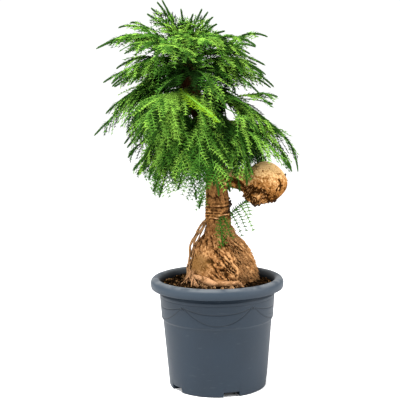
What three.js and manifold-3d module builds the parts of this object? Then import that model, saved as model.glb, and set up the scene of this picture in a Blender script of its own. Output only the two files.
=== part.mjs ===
// A hoop pine grown as a pot bonsai: a swollen trunk foot, a burl on a short arm, arching boughs
// in four tiers with feathery sprays of needles, and a rolled-rim nursery pot full of potting mix.
// Millimetres, +Z up. The origin is the middle of the pot's flat underside; the front faces -Y.

import * as THREE from "three";
import { mergeVertices } from "three/addons/utils/BufferGeometryUtils.js";
import Module from "manifold-3d";

const wasm = await Module();
wasm.setup();

// Driving dimensions

const SEAT_GAP = 0.3; // clearance between two pieces that rest on each other
const MERGE_WITHIN = 1e-4; // vertices that are nearer than this are one

const POT = {
  height: 247,
  rimRadius: 150,
  rimDrop: 22, // height of the rolled rim
  mouthRadius: 131,
  wall: 3,
  neckRadius: 130, // outside of the wall, under the rim
  neckHeight: 212,
  bandRadius: 126, // outside, at the lower edge of the ornament band
  bandHeight: 157,
  bandStep: 3, // the wall steps in below the band
  footRadius: 110,
  footChamfer: 3,
  segments: 40,
  curveSteps: 4, // straight pieces in each of the rim's curves
};

const DRAIN = { count: 5, turn: 15, width: 36, height: 11, start: 42 }; // channels under the floor

const SOIL = { edge: 230, crest: 238, crestRadius: 96 }; // the mix is mounded round the trunk

const TRUNK = [
  { at: "foot", height: 238.3, lean: 15, radius: 74 },
  { at: "bulge", height: 262, lean: 14, radius: 75.5 },
  { at: "belly", height: 290, lean: 11.5, radius: 68.5 },
  { at: "shoulder", height: 316, lean: 9, radius: 59.5 },
  { at: "slope", height: 329, lean: 8, radius: 49 },
  { at: "collar", height: 344, lean: 7, radius: 35 },
  { at: "neck", height: 362, lean: 5, radius: 29 },
  { at: "ring", height: 388, lean: 3.5, radius: 28.5 },
  { at: "waist", height: 430, lean: 2, radius: 25.5 },
  { at: "bend", height: 530, lean: -6, radius: 22 },
  { at: "lean", height: 680, lean: -55, radius: 18 },
  { at: "crown", height: 745, lean: -62, radius: 11 },
  { at: "tip", height: 790, lean: -64, radius: 4.5 },
];
const TRUNK_MESH = { rings: 28, sides: 20, crowding: 1.4, samples: 600 }; // rings crowd on the foot
const LOBE_FADE = 20; // the foot's lobes are gone this far above the neck
const FOOT_LOBES = [
  { lobes: 3, depth: 0.05, phase: 0 },
  { lobes: 5, depth: 0.035, phase: Math.PI },
];

const BURL = {
  azimuth: -8, // the arm leaves the trunk to the right and a little to the front
  armHeight: 474,
  armRadius: 17,
  armSwell: 1.5, // how much thicker the arm gets towards the ball
  armLead: 1.2, // length of the arm's straight start, in ball radii
  centre: new THREE.Vector3(110, -14, 460),
  radius: 46,
  lumps: 0.06,
  armMesh: { sides: 12, steps: 4 },
  ballMesh: { around: 16, down: 11 },
};

// The strap root bridges the hollow between shoulder and neck; reach is from the middle of the trunk.
const STRAP_ROOT = { azimuth: 190, radius: 3.6, swell: 1.3 };
const STRAP_LINE = [
  { height: 378, reach: 26 },
  { height: 356, reach: 42 },
  { height: 338, reach: 55 },
  { height: 320, reach: 64 },
  { height: 290, reach: 73.5 },
  { height: 262, reach: 81 },
  { height: 236, reach: 85 },
];

// The front root hugs the foot: its middle lies off the skin by a share of its radius, more at the tip.
const FRONT_ROOT = {
  from: 214,
  to: 303,
  lift: 16,
  rest: 0.8, // height of the tip's middle, in tip radii
  hug: { root: 0.35, tip: 0.95 },
  rootRadius: 7.2,
  tipRadius: 4,
};
const ROOT_MESH = { points: 8, sides: 6, steps: 14 };

// A bough is bare up to its split; lead is the length of its curve's handles, in reaches.
const BOUGH = { rootRadius: 5.2, splitRadius: 3.4, tipRadius: 2.1, split: 0.18, lead: 0.4 };
const BOUGH_MESH = { sides: 5, steps: 3 };
const STEM_MESH = { sides: 4, steps: 5 };
const STEM_SAMPLES = 24;
const SPEED_STEP = 0.01; // share of a line over which its speed is measured

// How far one bough may differ from the next; every other bough leaves the trunk higher by the stagger.
const VARY = { azimuth: 9, reach: 0.12, tip: 22, height: 8, stagger: 11, sway: 26 };

// The column of each trait that varies; a spray's traits take one column for each spray.
const TRAIT = { azimuth: 1, reach: 2, tip: 3, sway: 4, height: 5, spread: 30, length: 60, roll: 90 };
const ROWS = { perTier: 20, shoots: 91 };

// Each tier of boughs: where it leaves the trunk, how far it reaches, its slope at the trunk (rise),
// how far its tips end above the root (tip), their slope there (droop), how far its sprays hang
// below level (hang), how much longer (pull) and how much lower (cant) its right-hand boughs end.
const TIERS = [
  {
    name: "top", height: 742, count: 6, turn: 8, reach: 178,
    rise: 32, tip: 14, droop: 30, hang: 0, pull: -0.07, cant: 16,
  },
  {
    name: "upper", height: 702, count: 6, turn: 36, reach: 180,
    rise: 32, tip: -34, droop: 42, hang: 8, pull: 0.06, cant: 0,
  },
  {
    name: "middle", height: 654, count: 6, turn: -10, reach: 192,
    rise: 24, tip: -76, droop: 46, hang: 10, pull: -0.06, cant: 0,
  },
  {
    name: "lower", height: 605, count: 7, turn: 12, reach: 164,
    rise: 28, tip: -128, droop: 72, hang: 10, pull: 0.22, cant: 0,
  },
];

const SPRAY = {
  blades: 10, // sprays of needles on one mass
  first: 0.05,
  last: 0.88, // the bare tip of the stem stands out beyond the last spray
  length: 96,
  lengthVary: 0.18,
  shrink: 0.52, // share of the length lost towards the tip
  needle: 14, // reach of the needles either side of the twig, larger than life
  thickness: 1.1,
  forward: 55, // angle between twig and stem
  spiral: 137.5, // turn from one spray of a spiral to the next
  spread: 52, // how far a spray may stand above or below its neighbours
  roll: 50, // how far a blade may turn about its own twig
  sag: 0.3,
  tries: [1, 0.78, 0.58], // a twig that would leave its mass's own space is shortened, then skipped
  clearance: 3,
  simplify: 0.2, // faces that lie this flat are joined
};

// The teeth of a spray's outline: shares of its length and of its needles' reach.
const TEETH = [
  { along: 0.3, out: 1 },
  { along: 0.46, out: 0.4 },
  { along: 0.74, out: 0.72 },
];

// Shoots that leave the trunk without a bough: how far each runs out and climbs, how its sprays spread.
const SHOOTS = [
  { name: "leader", azimuth: 180, height: 788, run: 6, climb: 54, forward: 44, blades: 8, length: 56 },
  { name: "left_shoot", azimuth: 200, height: 770, run: 64, climb: 78, forward: 50, blades: 9, length: 62 },
  { name: "right_shoot", azimuth: -24, height: 766, run: 44, climb: 66, forward: 42, blades: 8, length: 52 },
  { name: "low_shoot", azimuth: -42, height: 374, run: 40, climb: 40, forward: 72, blades: 7, length: 74 },
];

const COLOURS = {
  pot: { color: 0x4a5662, roughness: 0.55, metalness: 0 },
  soil: { color: 0x3a2a1c, roughness: 0.95, metalness: 0 },
  bark: { color: 0x9c6f45, roughness: 0.85, metalness: 0 },
  bough: { color: 0x5c4a2c, roughness: 0.8, metalness: 0 },
  needles: { color: 0x4c8a2c, roughness: 0.6, metalness: 0 },
};

// Small helpers

const UP = new THREE.Vector3(0, 0, 1);
const radians = THREE.MathUtils.degToRad;
const direction = (azimuth) =>
  new THREE.Vector3(Math.cos(radians(azimuth)), Math.sin(radians(azimuth)), 0);

// A repeatable number from 0 to 1 for one limb (row) and one of its traits (column).
function chance(row, column) {
  const wave = Math.sin(row * 127.1 + column * 311.7) * 43758.5453;
  return wave - Math.floor(wave);
}
const vary = (row, column) => 2 * chance(row, column) - 1;

function mesh(name, geometry, finish) {
  const made = new THREE.Mesh(geometry, new THREE.MeshStandardMaterial(COLOURS[finish]));
  made.name = name;
  return made;
}

function toSolid(geometry) {
  const bare = geometry.clone();
  bare.deleteAttribute("normal");
  bare.deleteAttribute("uv");
  const merged = mergeVertices(bare, MERGE_WITHIN);
  const vertProperties = merged.attributes.position.array;
  const triVerts = new Uint32Array(merged.index.array);
  return new wasm.Manifold(new wasm.Mesh({ numProp: 3, vertProperties, triVerts }));
}

function toGeometry(solid) {
  const { vertProperties, triVerts } = solid.getMesh();
  return new THREE.BufferGeometry()
    .setAttribute("position", new THREE.BufferAttribute(vertProperties, 3))
    .setIndex(new THREE.BufferAttribute(triVerts, 1));
}

// The largest body of a solid, without the loose scraps that a cut can leave.
const mainBody = (solid) => solid.decompose().sort((a, b) => b.volume() - a.volume())[0];

// Moves every vertex of a geometry by a function of its place.
function reshape(geometry, move) {
  const places = geometry.attributes.position;
  const place = new THREE.Vector3();
  for (let i = 0; i < places.count; i++) {
    const moved = move(place.fromBufferAttribute(places, i));
    places.setXYZ(i, moved.x, moved.y, moved.z);
  }
  return geometry;
}

const lathe = (profile, segments) =>
  new THREE.LatheGeometry(profile, segments).rotateX(Math.PI / 2);

// A tapering limb along a curve, flat at both ends. The side vector keeps its section from twisting.
function limb(curve, { from = 0, to = 1, thick, thin, sides, steps, side }) {
  const rod = new THREE.CylinderGeometry(1, 1, 1, sides, steps);
  return reshape(rod, (place) => {
    const share = place.y + 0.5;
    const t = from + share * (to - from);
    const along = curve.getTangent(t);
    const across = side.clone().addScaledVector(along, -side.dot(along)).normalize();
    const normal = across.clone().cross(along);
    const radius = THREE.MathUtils.lerp(thick, thin, share);
    return curve
      .getPoint(t)
      .addScaledVector(across, place.x * radius)
      .addScaledVector(normal, place.z * radius);
  });
}

// Pot and potting mix

function potProfile() {
  const { height, rimRadius, rimDrop, mouthRadius, wall, neckRadius, neckHeight } = POT;
  const { bandRadius, bandHeight, bandStep, footRadius, footChamfer } = POT;
  const lip = height - rimDrop;
  const path = new THREE.Path();
  path.moveTo(0, 0);
  path.lineTo(footRadius - footChamfer, 0);
  path.lineTo(footRadius, footChamfer);
  path.lineTo(bandRadius - bandStep, bandHeight - bandStep);
  path.lineTo(bandRadius, bandHeight);
  path.lineTo(neckRadius, neckHeight);
  path.lineTo(neckRadius, height - 3 * wall);
  path.quadraticCurveTo(rimRadius - wall, height - wall, rimRadius - wall, lip);
  path.lineTo(rimRadius - wall / 2, lip);
  const crest = mouthRadius + 2 * wall;
  path.bezierCurveTo(rimRadius + wall, height - wall, rimRadius - 2 * wall, height, crest, height);
  path.quadraticCurveTo(mouthRadius - wall / 2, height, neckRadius - wall, height - 4 * wall);
  path.lineTo(neckRadius - wall, neckHeight);
  path.lineTo(bandRadius - bandStep - wall, bandHeight);
  path.lineTo(footRadius - wall, wall);
  path.lineTo(0, wall);
  return path.getPoints(POT.curveSteps);
}

// Inside radius of the pot's wall below the band, where it tapers evenly down to the floor.
function potInside(height) {
  const { wall, bandRadius, bandStep, bandHeight, footRadius } = POT;
  const share = (height - wall) / (bandHeight - wall);
  return THREE.MathUtils.lerp(footRadius - wall, bandRadius - bandStep - wall, share);
}

// The drain channels as boxes that run out under the wall; grow makes their roofs.
function drainChannels(grow) {
  const length = POT.rimRadius - DRAIN.start + grow;
  const high = DRAIN.height + grow;
  return Array.from({ length: DRAIN.count }, (_, i) => {
    const box = new THREE.BoxGeometry(length, DRAIN.width + 2 * grow, 2 * high);
    box.translate(DRAIN.start - grow + length / 2, 0, 0);
    return toSolid(box.rotateZ(radians(-90 + DRAIN.turn + (360 / DRAIN.count) * i)));
  });
}

// The space inside the pot's foot that the channels' roofs may fill.
function potFoot() {
  const tall = 3 * DRAIN.height;
  const profile = [
    new THREE.Vector2(0, 0),
    new THREE.Vector2(POT.footRadius - POT.footChamfer, 0),
    new THREE.Vector2(potInside(tall) + POT.wall / 2, tall),
    new THREE.Vector2(0, tall),
  ];
  return toSolid(lathe(profile, POT.segments));
}

function potSolid() {
  const shell = toSolid(lathe(potProfile(), POT.segments));
  const roofs = wasm.Manifold.union(drainChannels(POT.wall)).intersect(potFoot());
  return shell.add(roofs).subtract(wasm.Manifold.union(drainChannels(0)));
}

function soilSolid() {
  const { wall, bandHeight, neckRadius, neckHeight } = POT;
  const floor = wall + SEAT_GAP;
  const profile = [
    new THREE.Vector2(0, floor),
    new THREE.Vector2(potInside(floor) - 2 * SEAT_GAP, floor),
    new THREE.Vector2(potInside(bandHeight) - 2 * SEAT_GAP, bandHeight),
    new THREE.Vector2(neckRadius - wall - 2 * SEAT_GAP, neckHeight + SEAT_GAP),
    new THREE.Vector2(neckRadius - wall - 2 * SEAT_GAP, SOIL.edge),
    new THREE.Vector2(SOIL.crestRadius, SOIL.crest),
    new THREE.Vector2(0, SOIL.crest),
  ];
  const roofs = drainChannels(wall + SEAT_GAP);
  return toSolid(lathe(profile, POT.segments)).subtract(wasm.Manifold.union(roofs));
}

// Trunk, burl and roots

// One smooth line through the trunk's stations holds its lean (x), radius (y) and height (z).
const trunkLine = new THREE.CatmullRomCurve3(
  TRUNK.map((s) => new THREE.Vector3(s.lean, s.radius, s.height)),
  false,
  "centripetal",
);
const trunkSamples = trunkLine.getPoints(TRUNK_MESH.samples);
const trunkFoot = TRUNK[0].height;
const trunkTip = TRUNK[TRUNK.length - 1].height;
const trunkNeck = TRUNK.find((s) => s.at === "neck").height;

// The trunk's middle and radius at a height.
function trunkAt(height) {
  const after = Math.max(1, trunkSamples.findIndex((p) => p.z >= height));
  const [low, high] = [trunkSamples[after - 1], trunkSamples[after]];
  const share = THREE.MathUtils.clamp((height - low.z) / (high.z - low.z), 0, 1);
  const at = low.clone().lerp(high, share);
  return { middle: new THREE.Vector3(at.x, 0, height), radius: at.y };
}

// The lobes of the swollen foot at an azimuth in radians; they fade out at the neck.
function footLobes(azimuth, height) {
  const fade = 1 - THREE.MathUtils.smoothstep(height, TRUNK[1].height, trunkNeck + LOBE_FADE);
  return FOOT_LOBES.reduce((sum, l) => sum + fade * l.depth * Math.sin(l.lobes * azimuth + l.phase), 1);
}

const trunkSurface = (azimuth, height) =>
  trunkAt(height).radius * footLobes(radians(azimuth), height);

// The trunk with its skin moved out by grow, which leaves room for what is seated on it.
function trunkGeometry(grow) {
  const profile = [new THREE.Vector2(0, trunkFoot - grow)];
  for (let i = 0; i <= TRUNK_MESH.rings; i++) {
    const share = (i / TRUNK_MESH.rings) ** TRUNK_MESH.crowding;
    profile.push(new THREE.Vector2(1, THREE.MathUtils.lerp(trunkFoot - grow, trunkTip + grow, share)));
  }
  profile.push(new THREE.Vector2(0, trunkTip + grow));
  return reshape(lathe(profile, TRUNK_MESH.sides), (place) => {
    const { middle, radius } = trunkAt(THREE.MathUtils.clamp(place.z, trunkFoot, trunkTip));
    const lobes = footLobes(Math.atan2(place.y, place.x), place.z);
    const reach = radius * lobes + grow;
    return place.set(middle.x + reach * place.x, middle.y + reach * place.y, place.z);
  });
}

const trunkSeat = toSolid(trunkGeometry(SEAT_GAP));

// The burl: an arm that bends out of the trunk, and a ball whose skin swells by a product of waves.
function burlSolid() {
  const { middle } = trunkAt(BURL.armHeight);
  const out = direction(BURL.azimuth);
  const arm = new THREE.QuadraticBezierCurve3(
    middle,
    middle.clone().addScaledVector(out, BURL.radius * BURL.armLead),
    BURL.centre,
  );
  const thin = BURL.armRadius * BURL.armSwell;
  const armSize = { thick: BURL.armRadius, thin, ...BURL.armMesh, side: UP };
  const ball = new THREE.SphereGeometry(BURL.radius, BURL.ballMesh.around, BURL.ballMesh.down);
  reshape(ball, (place) => {
    const { x, y, z } = place.clone().divideScalar(BURL.radius);
    const lump = Math.sin(3.1 * x + 1.7) * Math.sin(2.6 * y + 0.4) + 0.6 * Math.sin(4.3 * z + 2 * x);
    return place.multiplyScalar(1 + BURL.lumps * lump).add(BURL.centre);
  });
  return mainBody(toSolid(limb(arm, armSize)).add(toSolid(ball)).subtract(trunkSeat));
}

const soilSeat = toSolid(
  lathe(
    [
      new THREE.Vector2(0, POT.wall),
      new THREE.Vector2(POT.mouthRadius, POT.wall),
      new THREE.Vector2(POT.mouthRadius, SOIL.crest + SEAT_GAP),
      new THREE.Vector2(0, SOIL.crest + SEAT_GAP),
    ],
    POT.segments,
  ),
);

// A place outside the trunk: its azimuth, its height and its reach from the trunk's middle there.
function besideTrunk(azimuth, height, reach) {
  const { middle } = trunkAt(Math.max(height, trunkFoot));
  return middle.addScaledVector(direction(azimuth), reach).setZ(height);
}

// A root is a rod through points on the outside of the foot, cut clear of trunk and mix.
function rootSolid(points, size) {
  const { sides, steps } = ROOT_MESH;
  const route = new THREE.CatmullRomCurve3(points);
  const rod = toSolid(limb(route, { sides, steps, ...size }));
  return mainBody(rod.subtract(trunkSeat).subtract(soilSeat));
}

function strapRoot() {
  const { azimuth, radius, swell } = STRAP_ROOT;
  const points = STRAP_LINE.map(({ height, reach }) => besideTrunk(azimuth, height, reach));
  return rootSolid(points, { thick: radius * swell, thin: radius, side: direction(azimuth + 90) });
}

function frontRoot() {
  const { from, to, lift, rest, hug, rootRadius, tipRadius } = FRONT_ROOT;
  const points = Array.from({ length: ROOT_MESH.points }, (_, i) => {
    const share = i / (ROOT_MESH.points - 1);
    const azimuth = THREE.MathUtils.lerp(from, to, share);
    const height = trunkFoot + rest * tipRadius + lift * (1 - share) ** 2;
    const standOff = rootRadius * THREE.MathUtils.lerp(hug.root, hug.tip, share);
    return besideTrunk(azimuth, height, trunkSurface(azimuth, height) + standOff);
  });
  return rootSolid(points, { thick: rootRadius, thin: tipRadius, side: UP });
}

// Boughs

// One bough's line: it leaves the trunk at its rise, arches over and ends at its droop.
function boughLine(tier, row, index) {
  const azimuth = tier.turn + (360 / tier.count) * index + VARY.azimuth * vary(row, TRAIT.azimuth);
  const out = direction(azimuth);
  const aside = direction(azimuth + 90);
  const reach = tier.reach * (1 + tier.pull * out.x) * (1 + VARY.reach * vary(row, TRAIT.reach));
  const step = index % 2 ? VARY.stagger : -VARY.stagger;
  const { middle, radius } = trunkAt(tier.height + step + VARY.height * vary(row, TRAIT.height));
  const root = middle.addScaledVector(out, radius / 2);
  const lead = BOUGH.lead * reach;
  const shoulder = root
    .clone()
    .addScaledVector(out, lead * Math.cos(radians(tier.rise)))
    .addScaledVector(UP, lead * Math.sin(radians(tier.rise)));
  const tip = root
    .clone()
    .addScaledVector(out, reach)
    .addScaledVector(aside, VARY.sway * vary(row, TRAIT.sway))
    .addScaledVector(UP, tier.tip - tier.cant * out.x + VARY.tip * vary(row, TRAIT.tip));
  const elbow = tip
    .clone()
    .addScaledVector(out, -lead * Math.cos(radians(tier.droop)))
    .addScaledVector(UP, lead * Math.sin(radians(tier.droop)));
  return { line: new THREE.CubicBezierCurve3(root, shoulder, elbow, tip), aside };
}

const boughs = TIERS.flatMap((tier, t) =>
  Array.from({ length: tier.count }, (_, i) => ({
    name: `${tier.name}_${i + 1}`,
    row: ROWS.perTier * t + i + 1,
    hang: tier.hang,
    ...boughLine(tier, ROWS.perTier * t + i + 1, i),
  })),
);

const boughSolid = ({ line, aside }) =>
  mainBody(
    toSolid(
      limb(line, {
        to: BOUGH.split,
        thick: BOUGH.rootRadius,
        thin: BOUGH.splitRadius,
        ...BOUGH_MESH,
        side: aside,
      }),
    ).subtract(trunkSeat),
  );

// Masses of needles

// A shoot's line: straight out of the trunk.
function shootStem(shoot, index) {
  const out = direction(shoot.azimuth);
  const { middle, radius } = trunkAt(shoot.height);
  const root = middle.addScaledVector(out, radius / 2);
  const tip = root.clone().addScaledVector(out, shoot.run).addScaledVector(UP, shoot.climb);
  const aside = direction(shoot.azimuth + 90);
  return { ...shoot, row: ROWS.shoots + index, line: new THREE.LineCurve3(root, tip), aside, spiral: true };
}

const shoots = SHOOTS.map(shootStem);
const stemSamples = [...boughs, ...shoots].map((stem) => ({
  name: stem.name,
  points: stem.line.getPoints(STEM_SAMPLES),
}));

// A point is in a mass's own space if no other stem is nearer and trunk, burl and mix are clear of it.
function inOwnSpace(name, point) {
  const nearest = (points) => Math.min(...points.map((p) => p.distanceTo(point)));
  const own = nearest(stemSamples.find((s) => s.name === name).points);
  const others = stemSamples.filter((s) => s.name !== name).map((s) => nearest(s.points));
  const { middle, radius } = trunkAt(THREE.MathUtils.clamp(point.z, trunkFoot, trunkTip));
  const beside = Math.hypot(point.x - middle.x, point.y - middle.y) - radius;
  const offTrunk = Math.max(beside, point.z - trunkTip);
  const offBurl = point.distanceTo(BURL.centre) - BURL.radius;
  const overArm = point.x > 0 && point.x < BURL.centre.x && Math.abs(point.y) < BURL.radius;
  const offArm = overArm ? Math.abs(point.z - BURL.armHeight) - BURL.armRadius : Infinity;
  return (
    own + SPRAY.clearance < Math.min(...others) &&
    Math.min(offTrunk, offBurl, offArm) > SPRAY.clearance &&
    point.z > SOIL.crest + SPRAY.clearance
  );
}

// The toothed outline of one spray along X: needles fan out from its root in teeth that get shorter.
function sprayOutline(length) {
  const edge = TEETH.map(({ along, out }) => new THREE.Vector2(along * length, out * SPRAY.needle));
  const mirrored = edge.map((p) => new THREE.Vector2(p.x, -p.y)).reverse();
  return [new THREE.Vector2(0, 0), ...edge, new THREE.Vector2(length, 0), ...mirrored];
}

// A place on a spray that leaves its root along a heading and sags under its own weight.
const onSpray = ({ root, heading, across }, length, { x, y, z = 0 }) =>
  root
    .clone()
    .addScaledVector(heading, x)
    .addScaledVector(across, y)
    .addScaledVector(heading.clone().cross(across), z)
    .addScaledVector(UP, -SPRAY.sag * length * (x / length) ** 2);

function blade(spray, length) {
  const outline = new THREE.Shape(sprayOutline(length));
  const flat = new THREE.ExtrudeGeometry(outline, { depth: SPRAY.thickness, bevelEnabled: false });
  flat.translate(0, 0, -SPRAY.thickness / 2);
  return reshape(flat, (place) => onSpray(spray, length, place));
}

// Spray k of a stem: where it starts, where it heads and how its blade is turned. Side sprays stand
// alternately left and right of the stem and hang below level; a spiral goes round and round it.
function sprayOf(stem, share, k, { from, forward, hang, spiral }) {
  const t = THREE.MathUtils.lerp(from, 1, share);
  const along = stem.line.getTangent(t);
  const above = along.clone().cross(stem.aside).normalize();
  const sideways = (k % 2 ? 1 : -1) * (90 + hang + SPRAY.spread * vary(stem.row, TRAIT.spread + k));
  const around = radians(spiral ? SPRAY.spiral * k : sideways);
  const off = stem.aside
    .clone()
    .multiplyScalar(Math.sin(around))
    .addScaledVector(above, Math.cos(around));
  const heading = along.clone().multiplyScalar(Math.cos(radians(forward)));
  heading.addScaledVector(off, Math.sin(radians(forward))).normalize();
  const roll = radians(SPRAY.roll * vary(stem.row, TRAIT.roll + k));
  const across = heading.clone().cross(along).cross(heading).normalize();
  across.applyAxisAngle(heading, roll);
  return { root: stem.line.getPoint(t), heading, across };
}

// A mass: one stem and the sprays that find room in its own space, fused.
function massSolid(stem, { blades = SPRAY.blades, length = SPRAY.length, ...pose }) {
  const rod = {
    from: pose.from,
    thick: BOUGH.splitRadius,
    thin: BOUGH.tipRadius,
    ...STEM_MESH,
    side: stem.aside,
  };
  const pieces = [toSolid(limb(stem.line, rod))];
  for (let k = 0; k < blades; k++) {
    const share = THREE.MathUtils.lerp(SPRAY.first, SPRAY.last, k / (blades - 1));
    const spray = sprayOf(stem, share, k, pose);
    const differs = 1 + SPRAY.lengthVary * vary(stem.row, TRAIT.length + k);
    const full = length * (1 - SPRAY.shrink * share) * differs;
    const fits = SPRAY.tries
      .map((part) => part * full)
      .find((long) =>
        sprayOutline(long).slice(1).every((p) => inOwnSpace(stem.name, onSpray(spray, long, p))),
      );
    if (fits) pieces.push(toSolid(blade(spray, fits)));
  }
  return mainBody(wasm.Manifold.union(pieces)).simplify(SPRAY.simplify);
}

// A bough's mass starts one seat gap beyond the end of the bough.
function boughMass(stem) {
  const [end, next] = [BOUGH.split, BOUGH.split + SPEED_STEP].map((t) => stem.line.getPoint(t));
  const from = BOUGH.split + (SPEED_STEP * SEAT_GAP) / end.distanceTo(next);
  return massSolid(stem, { from, forward: SPRAY.forward, hang: stem.hang });
}

// The whole plant

const plant = new THREE.Group();
plant.name = "hoop_pine_bonsai";
plant.add(mesh("pot", toGeometry(potSolid()), "pot"));
plant.add(mesh("potting_mix", toGeometry(soilSolid()), "soil"));
plant.add(mesh("trunk", trunkGeometry(0), "bark"));
plant.add(mesh("burl", toGeometry(burlSolid()), "bark"));
plant.add(mesh("strap_root", toGeometry(strapRoot()), "bark"));
plant.add(mesh("front_root", toGeometry(frontRoot()), "bark"));
boughs.forEach((stem) => {
  plant.add(mesh(`bough_${stem.name}`, toGeometry(boughSolid(stem)), "bough"));
  plant.add(mesh(`needles_${stem.name}`, toGeometry(boughMass(stem)), "needles"));
});
shoots.forEach((stem) => {
  const mass = massSolid(stem, { from: 0, ...stem }).subtract(trunkSeat);
  plant.add(mesh(`needles_${stem.name}`, toGeometry(mainBody(mass)), "needles"));
});

export default plant;
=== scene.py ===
# %% [markdown]
# # A hoop pine bonsai in its nursery pot
# This lesson dresses the packed CAD model of a potted hoop pine. The frame comes first: it holds every
# solid of the model in one set of axes, so each piece made here is worked out in the same millimetres
# and needs no fitting. The dressed plant has to stay within it.

import bpy
import numpy as np
from mathutils import Matrix, Vector


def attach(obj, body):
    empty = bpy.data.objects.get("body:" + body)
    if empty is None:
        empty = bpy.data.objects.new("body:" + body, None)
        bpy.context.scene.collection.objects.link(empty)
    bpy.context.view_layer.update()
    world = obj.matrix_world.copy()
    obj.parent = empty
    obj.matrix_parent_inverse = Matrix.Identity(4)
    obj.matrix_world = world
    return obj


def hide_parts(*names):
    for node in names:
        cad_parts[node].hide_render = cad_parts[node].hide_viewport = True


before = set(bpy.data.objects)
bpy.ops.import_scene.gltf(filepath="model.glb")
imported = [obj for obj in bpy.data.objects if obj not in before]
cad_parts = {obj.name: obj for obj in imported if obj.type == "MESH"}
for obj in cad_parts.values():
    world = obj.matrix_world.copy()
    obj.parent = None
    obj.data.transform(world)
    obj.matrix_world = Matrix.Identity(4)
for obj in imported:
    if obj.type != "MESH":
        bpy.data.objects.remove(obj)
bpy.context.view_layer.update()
MM = 0.001  # shapes are worked out in millimetres, and meshes are in metres

# %% [markdown]
# ## Camera
# The photo looks a little down on the plant through a long lens. A camera can be turned by hand until
# the picture fits, but the ellipses of the pot's rim and foot give its place exactly. So the place, the
# pitch and the slight roll are written down, and its three axes make the camera's matrix.

# %% Camera
PHOTO_SIDE = 400  # pixels
FOCAL_LENGTH = 971  # pixels
CAMERA_PLACE = np.array([-36.2, -2150, 690])
PITCH = np.radians(7.14)
ROLL = np.radians(0.7)


def camera_axes():
    """Right, up and back of a camera that looks down by the pitch and is rolled about its sight."""
    level = np.array([1, 0, 0])
    upright = np.array([0, np.sin(PITCH), np.cos(PITCH)])
    back = np.array([0, -np.cos(PITCH), np.sin(PITCH)])
    right = np.cos(ROLL) * level - np.sin(ROLL) * upright
    up = np.sin(ROLL) * level + np.cos(ROLL) * upright
    return np.stack([right, up, back])


def seen_at(x, y, depth):
    """The point at a pixel of the photo: the line of sight, cut by the upright plane at the depth Y."""
    middle = PHOTO_SIDE / 2
    sight = np.array([x - middle, middle - y, -FOCAL_LENGTH]) @ camera_axes()
    return CAMERA_PLACE + sight * (depth - CAMERA_PLACE[1]) / sight[1]


def photo_camera():
    """The camera at its place, with the lens that the focal length in pixels asks for."""
    lens = bpy.data.cameras.new("photo_camera")
    lens.lens = lens.sensor_width * FOCAL_LENGTH / PHOTO_SIDE
    camera = bpy.data.objects.new("photo_camera", lens)
    turn = Matrix(camera_axes().T.tolist())
    camera.matrix_world = Matrix.Translation(CAMERA_PLACE * MM) @ turn.to_4x4()
    bpy.context.collection.objects.link(camera)
    return camera


bpy.context.scene.camera = photo_camera()
print("lens in millimetres:", round(bpy.context.scene.camera.data.lens, 2))

# %% [markdown]
# ## Studio
# The plant stands on white, lit softly from all round, with more light from above and from both sides:
# the pot is darkest in the middle of its front. A white sky gives the even part, and three large square
# lamps give the rest. Plain colours are shown as they are, without a film curve.

# %% Sky and soft lamps
SKY = 1.06
LAMPS = {  # place, aim and side in millimetres, and power
    "top_lamp": ((-700, -900, 2500), (0, 0, 500), 900, 120),
    "left_lamp": ((-1900, -900, 1300), (0, 0, 350), 1000, 30),
    "right_lamp": ((1900, -700, 1200), (0, 0, 350), 1000, 50),
}


def soft_lamp(name, place, aim, side, power):
    """A square lamp at a place that faces the point aim."""
    light = bpy.data.lights.new(name, "AREA")
    light.size = side * MM
    light.energy = power
    lamp = bpy.data.objects.new(name, light)
    way = Vector(aim) - Vector(place)
    turn = way.to_track_quat("-Z", "Y").to_matrix().to_4x4()
    lamp.matrix_world = Matrix.Translation(Vector(place) * MM) @ turn
    bpy.context.collection.objects.link(lamp)


world = bpy.data.worlds.new("white_studio")
world.use_nodes = True
world.node_tree.nodes["Background"].inputs["Color"].default_value = (SKY, SKY, SKY, 1)
bpy.context.scene.world = world
bpy.context.scene.view_settings.view_transform = "Standard"
for name, settings in LAMPS.items():
    soft_lamp(name, *settings)

# %% [markdown]
# ## Finishes as expressions
# A finish is a small network of nodes. Wiring it by hand hides the thought, so one small class stands
# for an output socket: maths on it adds Math nodes, and one method adds any other node.

# %% Shader sockets that can be calculated with
class Wire:
    """An output socket in a finish's node tree."""

    def __init__(self, tree, socket=None):
        self.tree = tree
        self.socket = socket

    def node(self, kind, settings, inputs, out=0):
        """Adds a node, makes its settings, then gives its sockets their values or links."""
        made = self.tree.nodes.new("ShaderNode" + kind)
        for key, value in settings.items():
            setattr(made, key, value)
        for key, value in inputs.items():
            if isinstance(value, Wire):
                self.tree.links.new(value.socket, made.inputs[key])
            else:
                made.inputs[key].default_value = value
        return Wire(self.tree, made.outputs[out])

    def maths(self, operation, first, second):
        """A Math node on two values, each a number or a socket."""
        return self.node("Math", {"operation": operation}, {0: first, 1: second})

    def __add__(self, other):
        return self.maths("ADD", self, other)

    def __mul__(self, other):
        return self.maths("MULTIPLY", self, other)

    def __sub__(self, other):
        return self.maths("SUBTRACT", self, other)

    def __rsub__(self, other):
        return self.maths("SUBTRACT", other, self)

    __radd__ = __add__
    __rmul__ = __mul__

    def fit(self, low, high):
        """0 where the value is low, 1 where it is high, eased between."""
        ends = {"From Min": low, "From Max": high, "Value": self}
        return self.node("MapRange", {"interpolation_type": "SMOOTHSTEP"}, ends)

    def blend(self, none, full):
        """The colour none where the value is 0, full where it is 1."""
        colours = [c if isinstance(c, Wire) else (*c, 1) for c in (none, full)]
        return self.node("Mix", {"data_type": "RGBA"}, {0: self, 6: colours[0], 7: colours[1]}, 2)


print("operators:", [name for name in vars(Wire) if name.startswith("__r")])

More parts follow.
